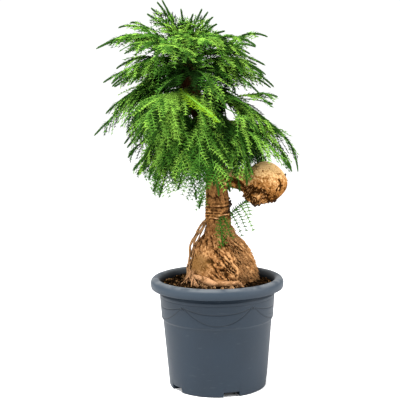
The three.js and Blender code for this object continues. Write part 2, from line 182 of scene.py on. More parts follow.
# %% One new finish
class Finish:
    """A material under construction, with the patterns that its maker draws on."""

    def __init__(self, name):
        self.material = bpy.data.materials.new(name)
        self.material.use_nodes = True
        self.wire = Wire(self.material.node_tree)
        self.place = self.wire.node("TexCoord", {}, {}, "Object")

    def grain(self, size, detail, stretch=(1, 1, 1), slant=0):
        """Cloudy noise with features of a size in millimetres, turned by slant and drawn out by stretch."""
        setting = {"Vector": self.place, "Scale": stretch, "Rotation": (0, np.radians(slant), 0)}
        drawn = self.wire.node("Mapping", {"vector_type": "TEXTURE"}, setting)
        return self.wire.node("TexNoise", {}, {"Vector": drawn, "Scale": 1 / (size * MM), "Detail": detail})

    def mark(self, name):
        """A number that the mesh carries at each point."""
        return self.wire.node("Attribute", {"attribute_name": name}, {}, "Fac")

    def height(self):
        """Height above the floor in millimetres."""
        return self.wire.node("SeparateXYZ", {}, {0: self.place}, 2) * (1 / MM)

    def done(self, colour, roughness, relief=None, depth=0.0, gloss=0.03):
        """Feeds the surface shader; relief is a height from 0 to 1 that stands for depth millimetres."""
        tree = self.material.node_tree
        shader = tree.nodes["Principled BSDF"]
        shader.inputs["Specular IOR Level"].default_value = gloss
        for key, value in {"Base Color": colour, "Roughness": roughness}.items():
            if isinstance(value, Wire):
                tree.links.new(value.socket, shader.inputs[key])
            else:
                shader.inputs[key].default_value = value if np.isscalar(value) else (*value, 1)
        if relief is not None:
            bump = self.wire.node("Bump", {}, {"Distance": depth * MM, "Strength": 1.0, "Height": relief})
            tree.links.new(bump.socket, shader.inputs["Normal"])
        return self.material


print("patterns and steps of a finish:", [name for name in vars(Finish) if not name.startswith("_")])

# %% [markdown]
# ## Shapes from arrays
# Every shape here is a grid of points: rows along a path and columns round it. The faces between them
# are the same for each such grid, so one function numbers them, with a fan at each end that closes the
# pole. A piece is filled from whole arrays, which takes no loop over its points.

# %% Helpers for whole arrays
UP = np.array([0.0, 0, 1])


def unit(vectors):
    """Vectors divided by their lengths."""
    return vectors / np.linalg.norm(vectors, axis=-1, keepdims=True)


def smooth_step(value, low, high):
    """0 below low, 1 above high, eased between as 3t^2 - 2t^3."""
    t = np.clip((value - low) / (high - low), 0, 1)
    return t * t * (3 - 2 * t)


def bell(away, width):
    """1 on a line, falling off to both sides with the square of the distance over the width."""
    return np.exp(-((away / width) ** 2))


def round_angles(count):
    """Even angles of a full turn; the last stops short of the first."""
    return np.linspace(0, 2 * np.pi, count, endpoint=False)


def polar(radius, angle, height, lean=0.0):
    """Points at a radius and an angle about an upright line that stands off along X by the lean."""
    sides = lean + radius * np.cos(angle), radius * np.sin(angle), height
    return np.stack(np.broadcast_arrays(*sides), axis=-1)


def turned(start, towards, degrees):
    """Directions turned from start by an angle towards another that is square to it."""
    angle = np.radians(degrees)[..., None]
    return start * np.cos(angle) + towards * np.sin(angle)


print("a bell at 0, 1 and 2 widths:", np.round(bell(np.arange(3), 1), 2))

# %% Closed grids and pieces
def tube_faces(rings, sides):
    """Quads between neighbouring rings, and two fans to the poles, whose points come last."""
    index = np.arange(rings * sides).reshape(rings, sides)
    after = np.roll(index, -1, axis=1)
    quads = np.stack([index[:-1], after[:-1], after[1:], index[1:]], axis=-1).reshape(-1, 4)
    start = np.full(sides, rings * sides)
    first = np.stack([start, after[0], index[0]], axis=-1)
    last = np.stack([start + 1, index[-1], after[-1]], axis=-1)
    return quads, np.concatenate([first, last])


def closed_grid(grid, poles, **marks):
    """A grid's points and its two poles, its faces, and its marks, which are 0 at the poles."""
    points = np.concatenate([grid.reshape(-1, 3), poles])
    marks = {name: np.append(values.ravel(), (0, 0)) for name, values in marks.items()}
    return points, tube_faces(*grid.shape[:2]), marks


def new_piece(name, points, faces, finish, slot, nodes=(), marks=None, smooth=True):
    """Fills a mesh: the points, the corners of all faces in one row, and where each face starts."""
    mesh = bpy.data.meshes.new(name)
    corners = np.concatenate([f.ravel() for f in faces])
    sizes = np.concatenate([np.full(len(f), f.shape[1]) for f in faces])
    mesh.vertices.add(len(points))
    mesh.vertices.foreach_set("co", (points * MM).astype(np.float32).ravel())
    mesh.loops.add(len(corners))
    mesh.loops.foreach_set("vertex_index", corners.astype(np.int32))
    mesh.polygons.add(len(sizes))
    mesh.polygons.foreach_set("loop_start", (np.cumsum(sizes) - sizes).astype(np.int32))
    mesh.polygons.foreach_set("use_smooth", np.full(len(sizes), smooth))
    for mark, values in (marks or {}).items():
        layer = mesh.attributes.new(mark, "FLOAT", "POINT")
        layer.data.foreach_set("value", values.astype(np.float32).ravel())
    mesh.update(calc_edges=True)
    mesh.materials.append(finish)
    piece = bpy.data.objects.new(name, mesh)
    bpy.context.collection.objects.link(piece)
    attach(piece, "root")
    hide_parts(*nodes)
    print(name, "has", int(np.sum(sizes - 2)), "triangles")
    return piece


print("faces of a grid of 3 rings and 8 sides:", [len(faces) for faces in tube_faces(3, 8)])

# %% Many tubes at once
def tubes(paths, radii, sideways, sides):
    """Rings about each path: across and its cross product with the tangent span the ring's plane."""
    count, rings = paths.shape[:2]
    along = unit(np.gradient(paths, axis=1))
    across = sideways[:, None] - along * np.sum(along * sideways[:, None], axis=-1, keepdims=True)
    across = unit(across)[:, :, None]
    normal = np.cross(along[:, :, None], across)
    turn = round_angles(sides)[:, None]
    if radii.ndim == 2:
        radii = np.repeat(radii[..., None], sides, axis=2)
    skin = paths[:, :, None] + radii[..., None] * (np.cos(turn) * across + np.sin(turn) * normal)
    points = np.concatenate([skin.reshape(count, -1, 3), paths[:, :1], paths[:, -1:]], axis=1)
    step = (np.arange(count) * points.shape[1])[:, None, None]
    faces = [(f[None] + step).reshape(-1, f.shape[1]) for f in tube_faces(rings, sides)]
    return points.reshape(-1, 3), faces


def joined(parts):
    """Several (points, faces) as one, with the faces of each numbered on from those before."""
    step = np.cumsum([0] + [len(points) for points, _ in parts])
    faces = [f + s for (_, sets), s in zip(parts, step) for f in sets]
    return np.concatenate([points for points, _ in parts]), faces


def repeated(shape, count):
    """The faces of one small shape, numbered on for each of a count of such shapes."""
    shape = np.array(shape)
    steps = (shape.max() + 1) * np.arange(count)[:, None, None]
    return [(shape + steps).reshape(-1, 3)]


print("faces of five triangles:", repeated([(0, 1, 2)], 5)[0].shape)

# %% Repeatable chance and noise
STIR = (127.1, 311.7, 74.7)  # multipliers without a common measure
SPREAD = 43758.5453
SEED_STEP = 17.3  # cells from one seed's noise to the next


def fraction(mixed):
    """From 0 to 1: what is left after the point of a large multiple of a sine."""
    wave = np.sin(mixed) * SPREAD
    return wave - np.floor(wave)


def chance(row, column):
    """From 0 to 1, the same each time for a row and a column."""
    return fraction(np.asarray(row) * STIR[0] + np.asarray(column) * STIR[1])


def vary(row, column):
    """From -1 to 1: twice a chance, less one."""
    return 2 * chance(row, column) - 1


def chance_3(row, column):
    """Three chances side by side, from a column on."""
    return np.stack([chance(row, column + i) for i in range(3)], axis=-1)


def vary_3(row, column):
    """Three of those side by side, from a column on."""
    return 2 * chance_3(row, column) - 1


def noise(points, size, seed=0):
    """Smooth noise from -1 to 1: numbers dealt to the corners of cells of a size, eased across each."""
    cell = np.asarray(points) / size + SEED_STEP * seed
    low = np.floor(cell)
    part = cell - low
    part = part * part * (3 - 2 * part)
    total = 0
    for corner in np.ndindex(2, 2, 2):
        weight = np.prod(np.where(corner, part, 1 - part), axis=-1)
        total = total + weight * fraction((low + corner) @ STIR)
    return 2 * total - 1


def crack(points, size, seed, width):
    """1 on the lines where the noise passes through zero, falling off as a bell to both sides."""
    return bell(noise(points, size, seed), width)


print("noise at three points:", np.round(noise(np.eye(3) * 7, 10), 3))

# %% [markdown]
# ## Floor
# The plant stands on a plain pale floor, which isn't part of it. One large square is enough.

# %% Floor
FLOOR_HALF = 30  # metres
FLOOR_DROP = 0.2  # millimetres that it lies below the pot's underside


def pale_floor():
    """A square: half its side each way from the middle."""
    finish = Finish("pale_floor").done((0.97, 0.97, 0.97), 0.9)
    mesh = bpy.data.meshes.new("floor")
    corners = [(-1, -1), (1, -1), (1, 1), (-1, 1)]
    points = [(x * FLOOR_HALF, y * FLOOR_HALF, -FLOOR_DROP * MM) for x, y in corners]
    mesh.from_pydata(points, [], [(0, 1, 2, 3)])
    mesh.materials.append(finish)
    floor = bpy.data.objects.new("floor", mesh)
    bpy.context.collection.objects.link(floor)


pale_floor()

# %% [markdown]
# ## Pot
# The pot is blow-moulded slate plastic with a rolled rim, a shallow band of moulded garlands and drain
# It could be a Screw modifier on a drawn outline, but the garlands and the
# channels change round the pot. So its surface is a function of the place along the outline and of the
# azimuth, and the garlands are grooves in that function. A mark on each point tells the finish how deep
# its groove is, and where the wall goes down inside; the finish paints both darker as shade.

# %% Outline of the pot
FOOT_LOW, FOOT_TOP = 3, 25  # heights of the foot's straight wall
INNER_FLOOR = 16


def bend(handles, steps):
    """A quadratic or cubic curve: means of neighbouring handles, weighted by the share, again and again."""
    t = np.linspace(0, 1, steps + 1)[1:, None]
    line = [np.array(p, float)[None] for p in handles]
    while len(line) > 1:
        line = [a + (b - a) * t for a, b in zip(line, line[1:])]
    return line[0]


def straight(a, b, steps):
    """Even steps from a to b, without a itself."""
    return np.linspace(a, b, steps + 1)[1:]


def pot_outline():
    """Radius and height from the middle of the underside, up the outside, over the rim and down inside."""
    under = [(20, 0), (41.5, 0), (42.5, 0), (60, 0), (85, 0), (105, 0), (107, 0), (109, 0.8), (110, FOOT_LOW)]
    foot = straight((110, FOOT_LOW), (111.9, FOOT_TOP), 8)
    wall = straight((111.9, FOOT_TOP), (122.6, 150), 12)
    step = np.array([(123, 153.2), (123.6, 154.6), (125.2, 156.2), (126, 157.6)])
    band = straight((126, 157.6), (130, 212), 58)
    neck = np.array([(130, 213), (128.8, 214), (128.8, 226), (130, 238)])
    hollow = bend([(130, 238), (147, 244), (147, 225)], 8)
    lip = np.array([(147.4, 224.3), (148, 224.3), (148.5, 225)])
    rim = bend([(148.5, 225), (153, 244), (144, 247), (137, 247)], 16)
    mouth = bend([(137, 247), (129.5, 247), (127, 235)], 8)
    inside = [(127, 225), (127, 212), (120, 157), (110, 40), (108.6, 17)]
    floor = [(100, INNER_FLOOR), (20, INNER_FLOOR)]
    return np.concatenate([under, foot, wall, step, band, neck, hollow, lip, rim, mouth, inside, floor])


outline = pot_outline()
print("rows on the pot's outline:", len(outline))

# %% Garlands
FIFTH = 72.0  # degrees: garlands and channels come five times round the pot
BOW = FIFTH / 2  # from a garland's middle to the bow at its end
GARLANDS = [(162.5, 197), (187, 198)]  # lowest and highest height of each moulded arc
GARLAND_MIDDLE = -90.5  # azimuth of the front one
GARLAND_REACH = 33.5  # degrees either side
GROOVE_WIDTH = 0.9
STROKES = [(198, -0.9), (197, 1.1)]  # crossed at each bow: height at its middle, fall per millimetre beside
STROKE_END = (5, 3.5)  # millimetres beside the bow between which they fade in
STROKE_DEPTH = 1.3
BAND_LINE = 207  # height of the fine line above them
BAND_RADIUS = 128


def in_fifth(azimuth):
    """Degrees from the middle of a fifth of the pot."""
    return (azimuth + BOW) % FIFTH - BOW


def garland_depth(azimuth, height):
    """Bell-shaped grooves along parabolas between the bows, and two crossed strokes at each bow."""
    turn = in_fifth(azimuth - GARLAND_MIDDLE)
    depth = bell(height - BAND_LINE, 0.6) * 0.6
    for low, high in GARLANDS:
        arc = low + (high - low) * (turn / GARLAND_REACH) ** 2
        slope = 2 * (high - low) * turn / GARLAND_REACH**2 / np.radians(BAND_RADIUS)
        near = smooth_step(np.abs(turn), GARLAND_REACH + 0.5, GARLAND_REACH - 0.5)
        depth = depth + near * bell((height - arc) / np.hypot(1, slope), GROOVE_WIDTH)
    beside = np.radians(np.abs(turn) - BOW) * BAND_RADIUS
    strokes = sum(bell(height - middle + fall * beside, GROOVE_WIDTH) for middle, fall in STROKES)
    return depth + strokes * smooth_step(np.abs(beside), *STROKE_END) * STROKE_DEPTH


lowest = garland_depth(GARLAND_MIDDLE, GARLANDS[0][0])
print("garland depth at its lowest point:", round(float(lowest), 2))

# %% Drain channels and the pot's surface
CHANNEL = {"turn": -75, "half": 18, "height": 11, "start": 42}  # azimuth, half width, top, nearest radius
CHANNEL_SPAN = 10  # degrees of columns that half a channel takes up
COLUMN = 0.5  # degrees from column to column
EDGE_STEP = 0.3  # degrees from a channel's edge to the next column
ROOF_STEP = 0.5  # millimetres of height from a channel's roof to the lowest row of the wall
FOOT_ROWS = 17  # rows of underside and foot
RIM_ROWS = 35  # rows from the rim on, which have no garlands
INSIDE_ROWS = 15
BAND_FROM = 140  # height above which the garlands are
GROOVE_DEPTH = 1.1
INSIDE_SHADE = 1.2  # the mark of painted shade where the wall goes down inside
INSIDE_FADE = (246.5, 241)  # heights over which that painted shade comes in


def channel_warp(turn, radius):
    """Moves the columns so that one lies on each side of a channel, whose sides are parallel."""
    edge = np.degrees(np.arcsin(CHANNEL["half"] / np.maximum(radius, CHANNEL["start"])))
    size = np.abs(turn)
    share = (size - CHANNEL_SPAN - COLUMN) / (BOW - CHANNEL_SPAN - COLUMN)
    beyond = edge + EDGE_STEP + share * (BOW - EDGE_STEP - edge)
    return np.sign(turn) * np.where(size <= CHANNEL_SPAN, size / CHANNEL_SPAN * edge, beyond)


def pot_surface():
    """Radius, azimuth and height on the grid: the outline, less the grooves, lifted over the channels."""
    around = np.arange(int(360 / COLUMN)) * COLUMN
    rows = np.arange(len(outline))[:, None]
    radius, height = (column[:, None] + 0 * around for column in outline.T)
    turn = in_fifth(around)
    low = rows < FOOT_ROWS
    azimuth = around - turn + CHANNEL["turn"] + np.where(low, channel_warp(turn, radius), turn)
    in_channel = low & (np.abs(turn) <= CHANNEL_SPAN) & (radius > CHANNEL["start"])
    top = CHANNEL["height"] + ROOF_STEP
    steepness = (FOOT_TOP - top) / (FOOT_TOP - FOOT_LOW)
    lifted = top + np.maximum(height - FOOT_LOW, -ROOF_STEP) * steepness
    height = np.where(in_channel & (height < FOOT_TOP), lifted, height)
    on_band = (rows < len(outline) - RIM_ROWS) & (height > BAND_FROM)
    line = garland_depth(azimuth, height) * on_band
    grid = polar(radius - GROOVE_DEPTH * line, np.radians(azimuth), height)
    inside = rows >= len(outline) - INSIDE_ROWS
    # The second result is the mark of painted shade: the groove's depth on the band, and dark down the
    # inside.
    return grid, np.where(inside, INSIDE_SHADE * smooth_step(height, *INSIDE_FADE), line)


pot_grid, pot_shade = pot_surface()
print("rows and columns of the pot:", pot_shade.shape)

# %% [markdown]
# The plastic is matt slate blue with a slight mottle, paler in faint scuffs where it has been rubbed. The
# rim's outer wall is painted paler as a highlight, and its crest paler still as a painted highlight in the
# scuffs' colour. The scuffs are noise that is drawn out level and cut high, so only its peaks show, and
# they also make the plastic a little rougher there. Grooves and the inside are painted darker as shade.

# %% Slate plastic
SLATES = (0.006, 0.012, 0.02), (0.009, 0.0175, 0.0285)  # darkest and lightest of the mottle
# Painted highlight on the rim's wall, and painted shade in the grooves and down the inside.
RIM_HIGHLIGHT, SHADE_SLATE = (0.028, 0.04, 0.054), (0.004, 0.006, 0.008)
# Paler: rubbed scuffs, and the painted highlight on the rim's crest; then dust.
RUBBED_AND_HIGHLIGHT, DUST = (0.105, 0.113, 0.12), (0.08, 0.09, 0.1)
RIM_WALL, RIM_CREST = (222, 238), (240, 247)  # heights over which the painted highlight comes in, on the rim's wall and on its crest


def slate_plastic():
    """Mottled slate, blended by masks from 0 to 1: a painted highlight on the rim, painted shade in the
    grooves and inside, rubbed scuffs with a painted highlight on the crest, then dust.
    """
    f = Finish("slate_plastic")
    mottle = f.grain(60, 4)
    speck = f.grain(2.2, 2)
    scuff = f.grain(9, 6, (3, 3, 0.7)).fit(0.62, 0.72)
    # A painted highlight along the rim's crest, broken by noise.
    crest = f.height().fit(*RIM_CREST) * f.grain(25, 5).fit(0.3, 0.6)
    plain = mottle.blend(*SLATES)
    # Painted highlight: the rim's wall paler.
    plain = (f.height().fit(*RIM_WALL) * 0.55).blend(plain, RIM_HIGHLIGHT)
    # Painted shade in the grooves and down the inside.
    shaded_slate = (f.mark("line") * 0.6).blend(plain, SHADE_SLATE)
    # Rubbed scuffs, and the painted highlight on the crest.
    worn = (scuff * 0.1 + crest * 0.7).blend(shaded_slate, RUBBED_AND_HIGHLIGHT)
    dusty = (speck.fit(0.64, 0.74) * 0.1).blend(worn, DUST)
    rough = 0.46 + 0.1 * mottle + 0.16 * scuff
    relief = speck * 0.6 + mottle * 0.4
    return f.done(dusty, rough, relief, 0.12, gloss=0.2)


pot_poles = [(0, 0, 0), (0, 0, INNER_FLOOR)]
pot_points, pot_faces, pot_marks = closed_grid(pot_grid, pot_poles, line=pot_shade)
new_piece("nursery_pot", pot_points, pot_faces, slate_plastic(), "pot", ["pot"], pot_marks)

# %% [markdown]
# ## Potting mix
# The mix is dark and crumbly, with tan chips of bark on it. A bumpy disc carries the look from afar, but
# its edge against the pot would be smooth, so a few thousand loose crumbs lie on it as well. Each is an
# octahedron with its corners pulled about, which costs only eight triangles.

# %% Bed of mix
MIX_EDGE = 126.2
MIX_FLOOR = 17
MIX_TOP = [(0, 238), (96, 238), (126.4, 230)]  # radius, height
MIX_SKIRT = [(60, MIX_FLOOR), (106, MIX_FLOOR), (118.8, 157), (MIX_EDGE, 213)]  # the same
MIX_DROP = 1.5  # millimetres that the clods' middle lies below the mound's outline
CLODS = [(2.2, 17, 1), (1.6, 6.5, 2), (0.9, 3, 3)]  # height, size and seed of each kind
MIX_RINGS = (MIX_EDGE, 40, 62)  # radii of the first and the last ring on top, and their count
MIX_POLES = [(0, 0, MIX_FLOOR), (0, 0, 236)]
MIX_DARK, MIX_LIGHT, MIX_BITS = (0.0015, 0.001, 0.0005), (0.009, 0.005, 0.0022), (0.036, 0.018, 0.007)


def mix_height(places):
    """The mound's outline, with clods of three sizes on it; places are radial points at height 0."""
    radius = np.hypot(places[..., 0], places[..., 1])
    mound = np.interp(radius, *np.transpose(MIX_TOP))
    return mound - MIX_DROP + sum(high * noise(places, size, seed) for high, size, seed in CLODS)


def mix_bed(columns=300):
    """A disc of rings over the mound, closed by a skirt that follows the pot's inside to its floor."""
    angle = round_angles(columns)
    top = polar(np.linspace(*MIX_RINGS)[:, None], angle, 0.0)
    top[..., 2] = mix_height(top)
    skirt = [polar(radius, angle, height) for radius, height in MIX_SKIRT]
    grid = np.concatenate([skirt, top])
    return closed_grid(grid, MIX_POLES)[:2]


def mix_finish():
    """Dark grains from one noise, with paler bits where a finer one is high."""
    f = Finish("dark_mix")
    grain = f.grain(5, 5)
    bits = f.grain(2.4, 3).fit(0.55, 0.7)
    colour = (bits * 0.5).blend(grain.blend(MIX_DARK, MIX_LIGHT), MIX_BITS)
    return f.done(colour, 0.95, grain, 1.2, gloss=0.0)


new_piece("mix_bed", *mix_bed(), mix_finish(), "potting_mix", ["potting_mix"])

# %% Loose crumbs
CRUMBS = {  # colour, count
    "dark": ((0.004, 0.0024, 0.001), 2400),
    "brown": ((0.025, 0.012, 0.0045), 1500),
    "tan": ((0.14, 0.075, 0.03), 420),
}
CRUMB_RING = (60, 124)  # radii between which they lie
CRUMB_ROW = 1000  # where their chances start
OCTAHEDRON = [(0, 2, 4), (2, 1, 4), (1, 3, 4), (3, 0, 4), (2, 0, 5), (1, 2, 5), (3, 1, 5), (0, 3, 5)]


def random_axes(row):
    """Three unit vectors at right angles for each row, turned any way."""
    first = unit(vary_3(row, 71))
    second = unit(np.cross(first, vary_3(row, 74)))
    return np.stack([first, second, np.cross(first, second)], axis=1)


def lumps(centres, sizes, row):
    """Octahedra: a corner each way along three crossed axes, each pulled in or out by chance."""
    axes = random_axes(row) * sizes[..., None]
    ways = np.stack([axes, -axes], axis=2).reshape(len(centres), 6, 3)
    pull = 0.7 + 0.6 * chance(row[:, None], 80 + np.arange(6))
    points = centres[:, None] + ways * pull[..., None]
    return points.reshape(-1, 3), repeated(OCTAHEDRON, len(centres))


def scatter_crumbs():
    """Crumbs lie on the bed at even odds per area: the radius is the root of an even chance."""
    start = CRUMB_ROW
    inner, outer = CRUMB_RING
    for tint, (colour, count) in CRUMBS.items():
        row = start + np.arange(count)
        start += count
        radius = np.sqrt(inner**2 + (outer**2 - inner**2) * chance(row, 1))
        centres = polar(radius, 2 * np.pi * chance(row, 2), 0.0)
        size = 1.0 + 2.6 * chance(row, 3) ** 3
        centres[:, 2] = mix_height(centres) + 0.4 * size
        sizes = np.minimum(size[:, None] * (0.6 + 0.9 * chance_3(row, 4)), 4)
        finish = Finish(f"{tint}_crumbs").done(colour, 0.9, gloss=0.0)
        new_piece(f"crumbs_{tint}", *lumps(centres, sizes, row), finish, "potting_mix", smooth=False)


scatter_crumbs()

# %% [markdown]
# ## Trunk
# The foot of the trunk is swollen like a bulb and craggy: roots grown into it run down across its front,
# with creases and hollows beside them, the left is worn smooth and the right is flaky. The neck above is
# ringed and the bark of the stem is thin. Sculpting would do it, but a function of azimuth and height
# can be tuned number by number, and the same function tells the finish where it is deep, which it paints as
# shade.

# %% Middle line of the trunk
TRUNK = np.array([  # lean, radius, height
    (15, 74, 238.3), (14, 75.5, 262), (11.5, 68.5, 290), (9, 59.5, 316), (8, 49, 329), (7, 35, 344),
    (5, 29, 362), (3.5, 28.5, 388), (2, 25.5, 430), (-6, 22, 530), (-55, 18, 680), (-62, 11, 745),
    (-64, 4.5, 790),
])


def station_line(stations, steps=60):
    """The smooth line through all stations whose pace follows the root of their distances."""
    ends = [2 * stations[:1] - stations[1:2], stations, 2 * stations[-1:] - stations[-2:-1]]
    p = np.concatenate(ends)
    d = np.sqrt(np.linalg.norm(np.diff(p, axis=0), axis=1))[:, None]
    slope = np.diff(p, axis=0) / d
    mean = slope[:-1] - (p[2:] - p[:-2]) / (d[:-1] + d[1:]) + slope[1:]
    t = np.linspace(0, 1, steps, endpoint=False)[:, None, None]
    a, b = p[1:-2], p[2:-1]
    out, into = mean[:-1] * d[1:-1], mean[1:] * d[1:-1]
    line = a + out * t + (3 * (b - a) - 2 * out - into) * t**2 + (2 * (a - b) + out + into) * t**3
    return np.concatenate([line.transpose(1, 0, 2).reshape(-1, 3), stations[-1:]])


trunk_line = station_line(TRUNK)
LOBES = [(0.05, 3, 0), (0.035, 5, np.pi)]  # waves round the foot: share of the radius, count, phase
LOBE_FADE = (262, 382)  # heights over which they end


def trunk_at(height):
    """Lean and radius of the trunk at a height."""
    return [np.interp(height, trunk_line[:, 2], trunk_line[:, i]) for i in (0, 1)]


def foot_lobes(angle, height):
    """A sum of two waves round the foot that fades out at the neck."""
    waves = sum(high * np.sin(count * angle + phase) for high, count, phase in LOBES)
    return 1 + (1 - smooth_step(height, *LOBE_FADE)) * waves


print("trunk at 300 mm, lean and radius:", np.round(trunk_at(300), 1))

# %% Lines and hollows of the foot
RIDGES = [  # grown-in roots: azimuth, height
    [(-108, 332), (-88, 316), (-80, 298), (-72, 282), (-65, 258)],
    [(-95, 342), (-84, 323), (-78, 309), (-67, 278)], [(-58, 340), (-44, 316), (-34, 290)],
]
RIDGE_WIDTH = 3.4
CREASES = [  # dark lines beside them
    [(-110, 322), (-93, 306), (-84, 297), (-76, 279), (-70, 258)],
    [(-84, 313), (-76, 293), (-68, 276)], [(-106, 284), (-99, 270), (-92, 258)],
    [(-70, 331), (-62, 312), (-50, 284)], [(-132, 346), (-118, 332), (-110, 322)],
    [(-48, 338), (-36, 316), (-24, 284)], [(-88, 350), (-74, 330), (-66, 316)],
    [(-168, 340), (-150, 322), (-140, 306)],
]
CREASE_WIDTH = 1.3
LINE_FADE = 6  # millimetres of height over which a line ends
HOLLOWS = [  # azimuth, height, half width, half height, depth
    (-115, 291, 11, 6, 7), (-88, 273, 12, 6, 7.5), (-99, 290, 9, 4, 3), (-64, 254, 9, 7, 4),
    (-60, 326, 8, 5, 3),
]
WORN = (-150, 285, 34, 22)  # azimuth, height and their reaches of the smooth place
GIRTH = 66.0  # millimetres of arc for one radian on the foot


def from_front(angle):
    """Arc in millimetres from the front of the foot, with its seam at the back."""
    return GIRTH * ((angle + np.pi / 2 + np.pi) % (2 * np.pi) - np.pi)


def along_lines(lines, arc, height, width):
    """A bell across each line, whose middle is read off for the height, eased out at its ends."""
    total = 0
    for line in lines:
        azimuth, level = np.transpose(line[::-1])
        middle = from_front(np.radians(np.interp(height, level, azimuth)))
        starts = smooth_step(height, level[0] - LINE_FADE, level[0] + LINE_FADE)
        ends = starts * smooth_step(height, level[-1] + LINE_FADE, level[-1] - LINE_FADE)
        total = total + ends * bell(arc - middle, width)
    return total


def hollow_relief(arc, height):
    """Bell-shaped pits, each with its own width, height and depth."""
    total = 0
    for azimuth, level, wide, tall, deep in HOLLOWS:
        away = ((arc - from_front(np.radians(azimuth))) / wide) ** 2 + ((height - level) / tall) ** 2
        total = total + deep * np.exp(-away)
    return total


crest = along_lines(RIDGES, from_front(np.radians(-88)), 316.0, RIDGE_WIDTH)
print("ridges at a crest:", round(float(crest), 2))

# %% Relief of the neck and the stem
RING_STEP = 6.7  # millimetres from ring to ring on the neck
COLLAR = 355  # height of the collar under it, painted dark as shade
NECK_FROM, NECK_TO, STEM_FROM = (366, 380), (408, 424), (405, 430)  # heights over which they start or end


def neck_relief(places, height):
    """Waves round the neck, a bell at the collar, and noise drawn out upwards on the stem's thin bark."""
    neck = smooth_step(height, *NECK_FROM) * (1 - smooth_step(height, *NECK_TO))
    wave = np.sin(2 * np.pi * height / RING_STEP + 1.6 * noise(places, 18, 9))
    ringed = smooth_step(noise(places, (14, 14, 5), 15), -0.3, 0.4)
    bands = neck * (0.9 * wave * ringed + 0.5 * noise(places, 5, 10))
    collar = bell(height - COLLAR, 11) * (0.55 + 0.7 * noise(places, 8, 14))
    stem = smooth_step(height, *STEM_FROM)
    strips = stem * noise(places, (8, 8, 24), 11)
    splits = stem * crack(places, (9, 9, 24), 12, 0.12)
    return bands, collar, strips, splits


sample = neck_relief(np.array([0.0, -28, 416]), 416.0)
print("bands, collar, strips and splits at 416 mm:", np.round(sample, 2))

# %% Flaky bark of the foot
BACK_SEAM = (165, 200)  # millimetres of arc over which slanted forms end before the seam at the back
FLAKY_FROM = (-14, 20)  # millimetres of arc over which flakes get thicker to the right


def flaky_bark(places, arc, height, rough):
    """Flakes, plates and cracks: noise in cells drawn out along a slant of the arc and the height."""
    seam = 1 - smooth_step(np.abs(arc), *BACK_SEAM)
    warp = 4 * noise(places, 17, 16)
    across, down = arc * 0.6 - height * 0.8 + warp, arc * 0.8 + height * 0.6 + warp
    slant = np.stack([across, down, 0.3 * places[..., 1]], axis=-1)
    flaky = 0.5 + 0.5 * smooth_step(arc, *FLAKY_FROM)
    flakes = seam * rough * flaky * (noise(slant, (15, 4.2, 40), 6) + 0.7 * noise(slant, (8, 2.6, 40), 13))
    plates = seam * rough * noise(slant, (32, 9, 40), 5)
    cracks = rough * (seam * crack(slant, (26, 7.5, 40), 7, 0.12) + 0.6 * crack(places, 10, 8, 0.1))
    return flakes, plates, cracks


sample = flaky_bark(np.array([30.0, -66, 280]), 20.0, 280.0, 1.0)
print("flakes, plates and cracks at one point of the foot:", np.round(sample, 2))

# %% Relief of the trunk
BULB_TOP = (336, 366)  # heights over which the foot's rough bark ends


def bark_relief(places, angle, height):
    """Relief in millimetres, with a deep mark that paints shade in hollows and highlight on crests, and a
    mark for how worn each point is.
    """
    arc = from_front(angle)
    bulb = 1 - smooth_step(height, *BULB_TOP)
    azimuth, level, wide, tall = WORN
    apart = ((arc - from_front(np.radians(azimuth))) / np.radians(wide) / GIRTH) ** 2
    worn = np.exp(-apart - ((height - level) / tall) ** 2)
    rough = bulb * (1 - 0.7 * worn)
    flakes, plates, cracks = flaky_bark(places, arc, height, rough)
    swell = 3.6 * bulb * noise(places, 31, 1) + 2.2 * rough * noise(places, 14, 2)
    knobs = rough * (1.5 * noise(places, 6.5, 3) + 0.8 * noise(places, 3.4, 4))
    shake = arc + 2.2 * noise(places, 11, 17)
    ridges = along_lines(RIDGES, shake, height, RIDGE_WIDTH)
    creases = along_lines(CREASES, shake, height, CREASE_WIDTH)
    pits = hollow_relief(shake, height + 2 * noise(places, 8, 18))
    bands, collar, strips, splits = neck_relief(places, height)
    relief = swell + knobs + 4.2 * ridges + 1.1 * bands + 0.8 * strips + 1.8 * plates + 2.2 * flakes
    relief = relief - 1.7 * cracks - 2.4 * creases - pits - 1.4 * collar - 0.9 * splits
    # The deep mark paints shade and highlight: dark between flakes and in cracks, creases, pits, the collar
    # and splits, pale on knobs, plates, ridges, the neck's rings and strips.
    low_flakes = smooth_step(-flakes, 0.05, 0.4)
    deep = 0.5 * cracks + 0.85 * creases + pits / 9 + 0.75 * low_flakes
    deep = deep - 0.2 * knobs - 0.2 * plates - 0.45 * ridges
    return relief, deep - 0.95 * bands + 0.6 * collar + 0.6 * splits - 0.3 * strips, worn


sample = bark_relief(np.array([12.0, -68, 290]), np.radians(-90), 290.0)
print("relief, deep and worn at the front of the foot:", np.round(sample, 2))

# %% [markdown]
# The bark's colour follows the relief: cracks, creases, hollows and the collar are painted dark as shade,
# crests and the neck's rings are painted pale as highlight, a little pink, and the worn place is ochre. The
# thin bark of the stem is browner, and painted dark where the crown shades it. The deep mark, which carries
# this painted shade and highlight, and the worn mark come with the mesh, and cloudy noise breaks them up.

# %% Tan bark
OCHRE = (0.12, 0.059, 0.015)
# The stem's browns: dark where the deep mark paints shade, tan, and the last pale as a painted highlight on
# the neck's rings.
STEM_DARK, STEM_TAN, STEM_HIGHLIGHT = (0.026, 0.01, 0.003), (0.3, 0.138, 0.046), (0.5, 0.3, 0.16)
STEM_SHADED = (0.034, 0.013, 0.005)
CROWN_SHADE = (490, 590)  # heights between which the crown comes to shade the stem


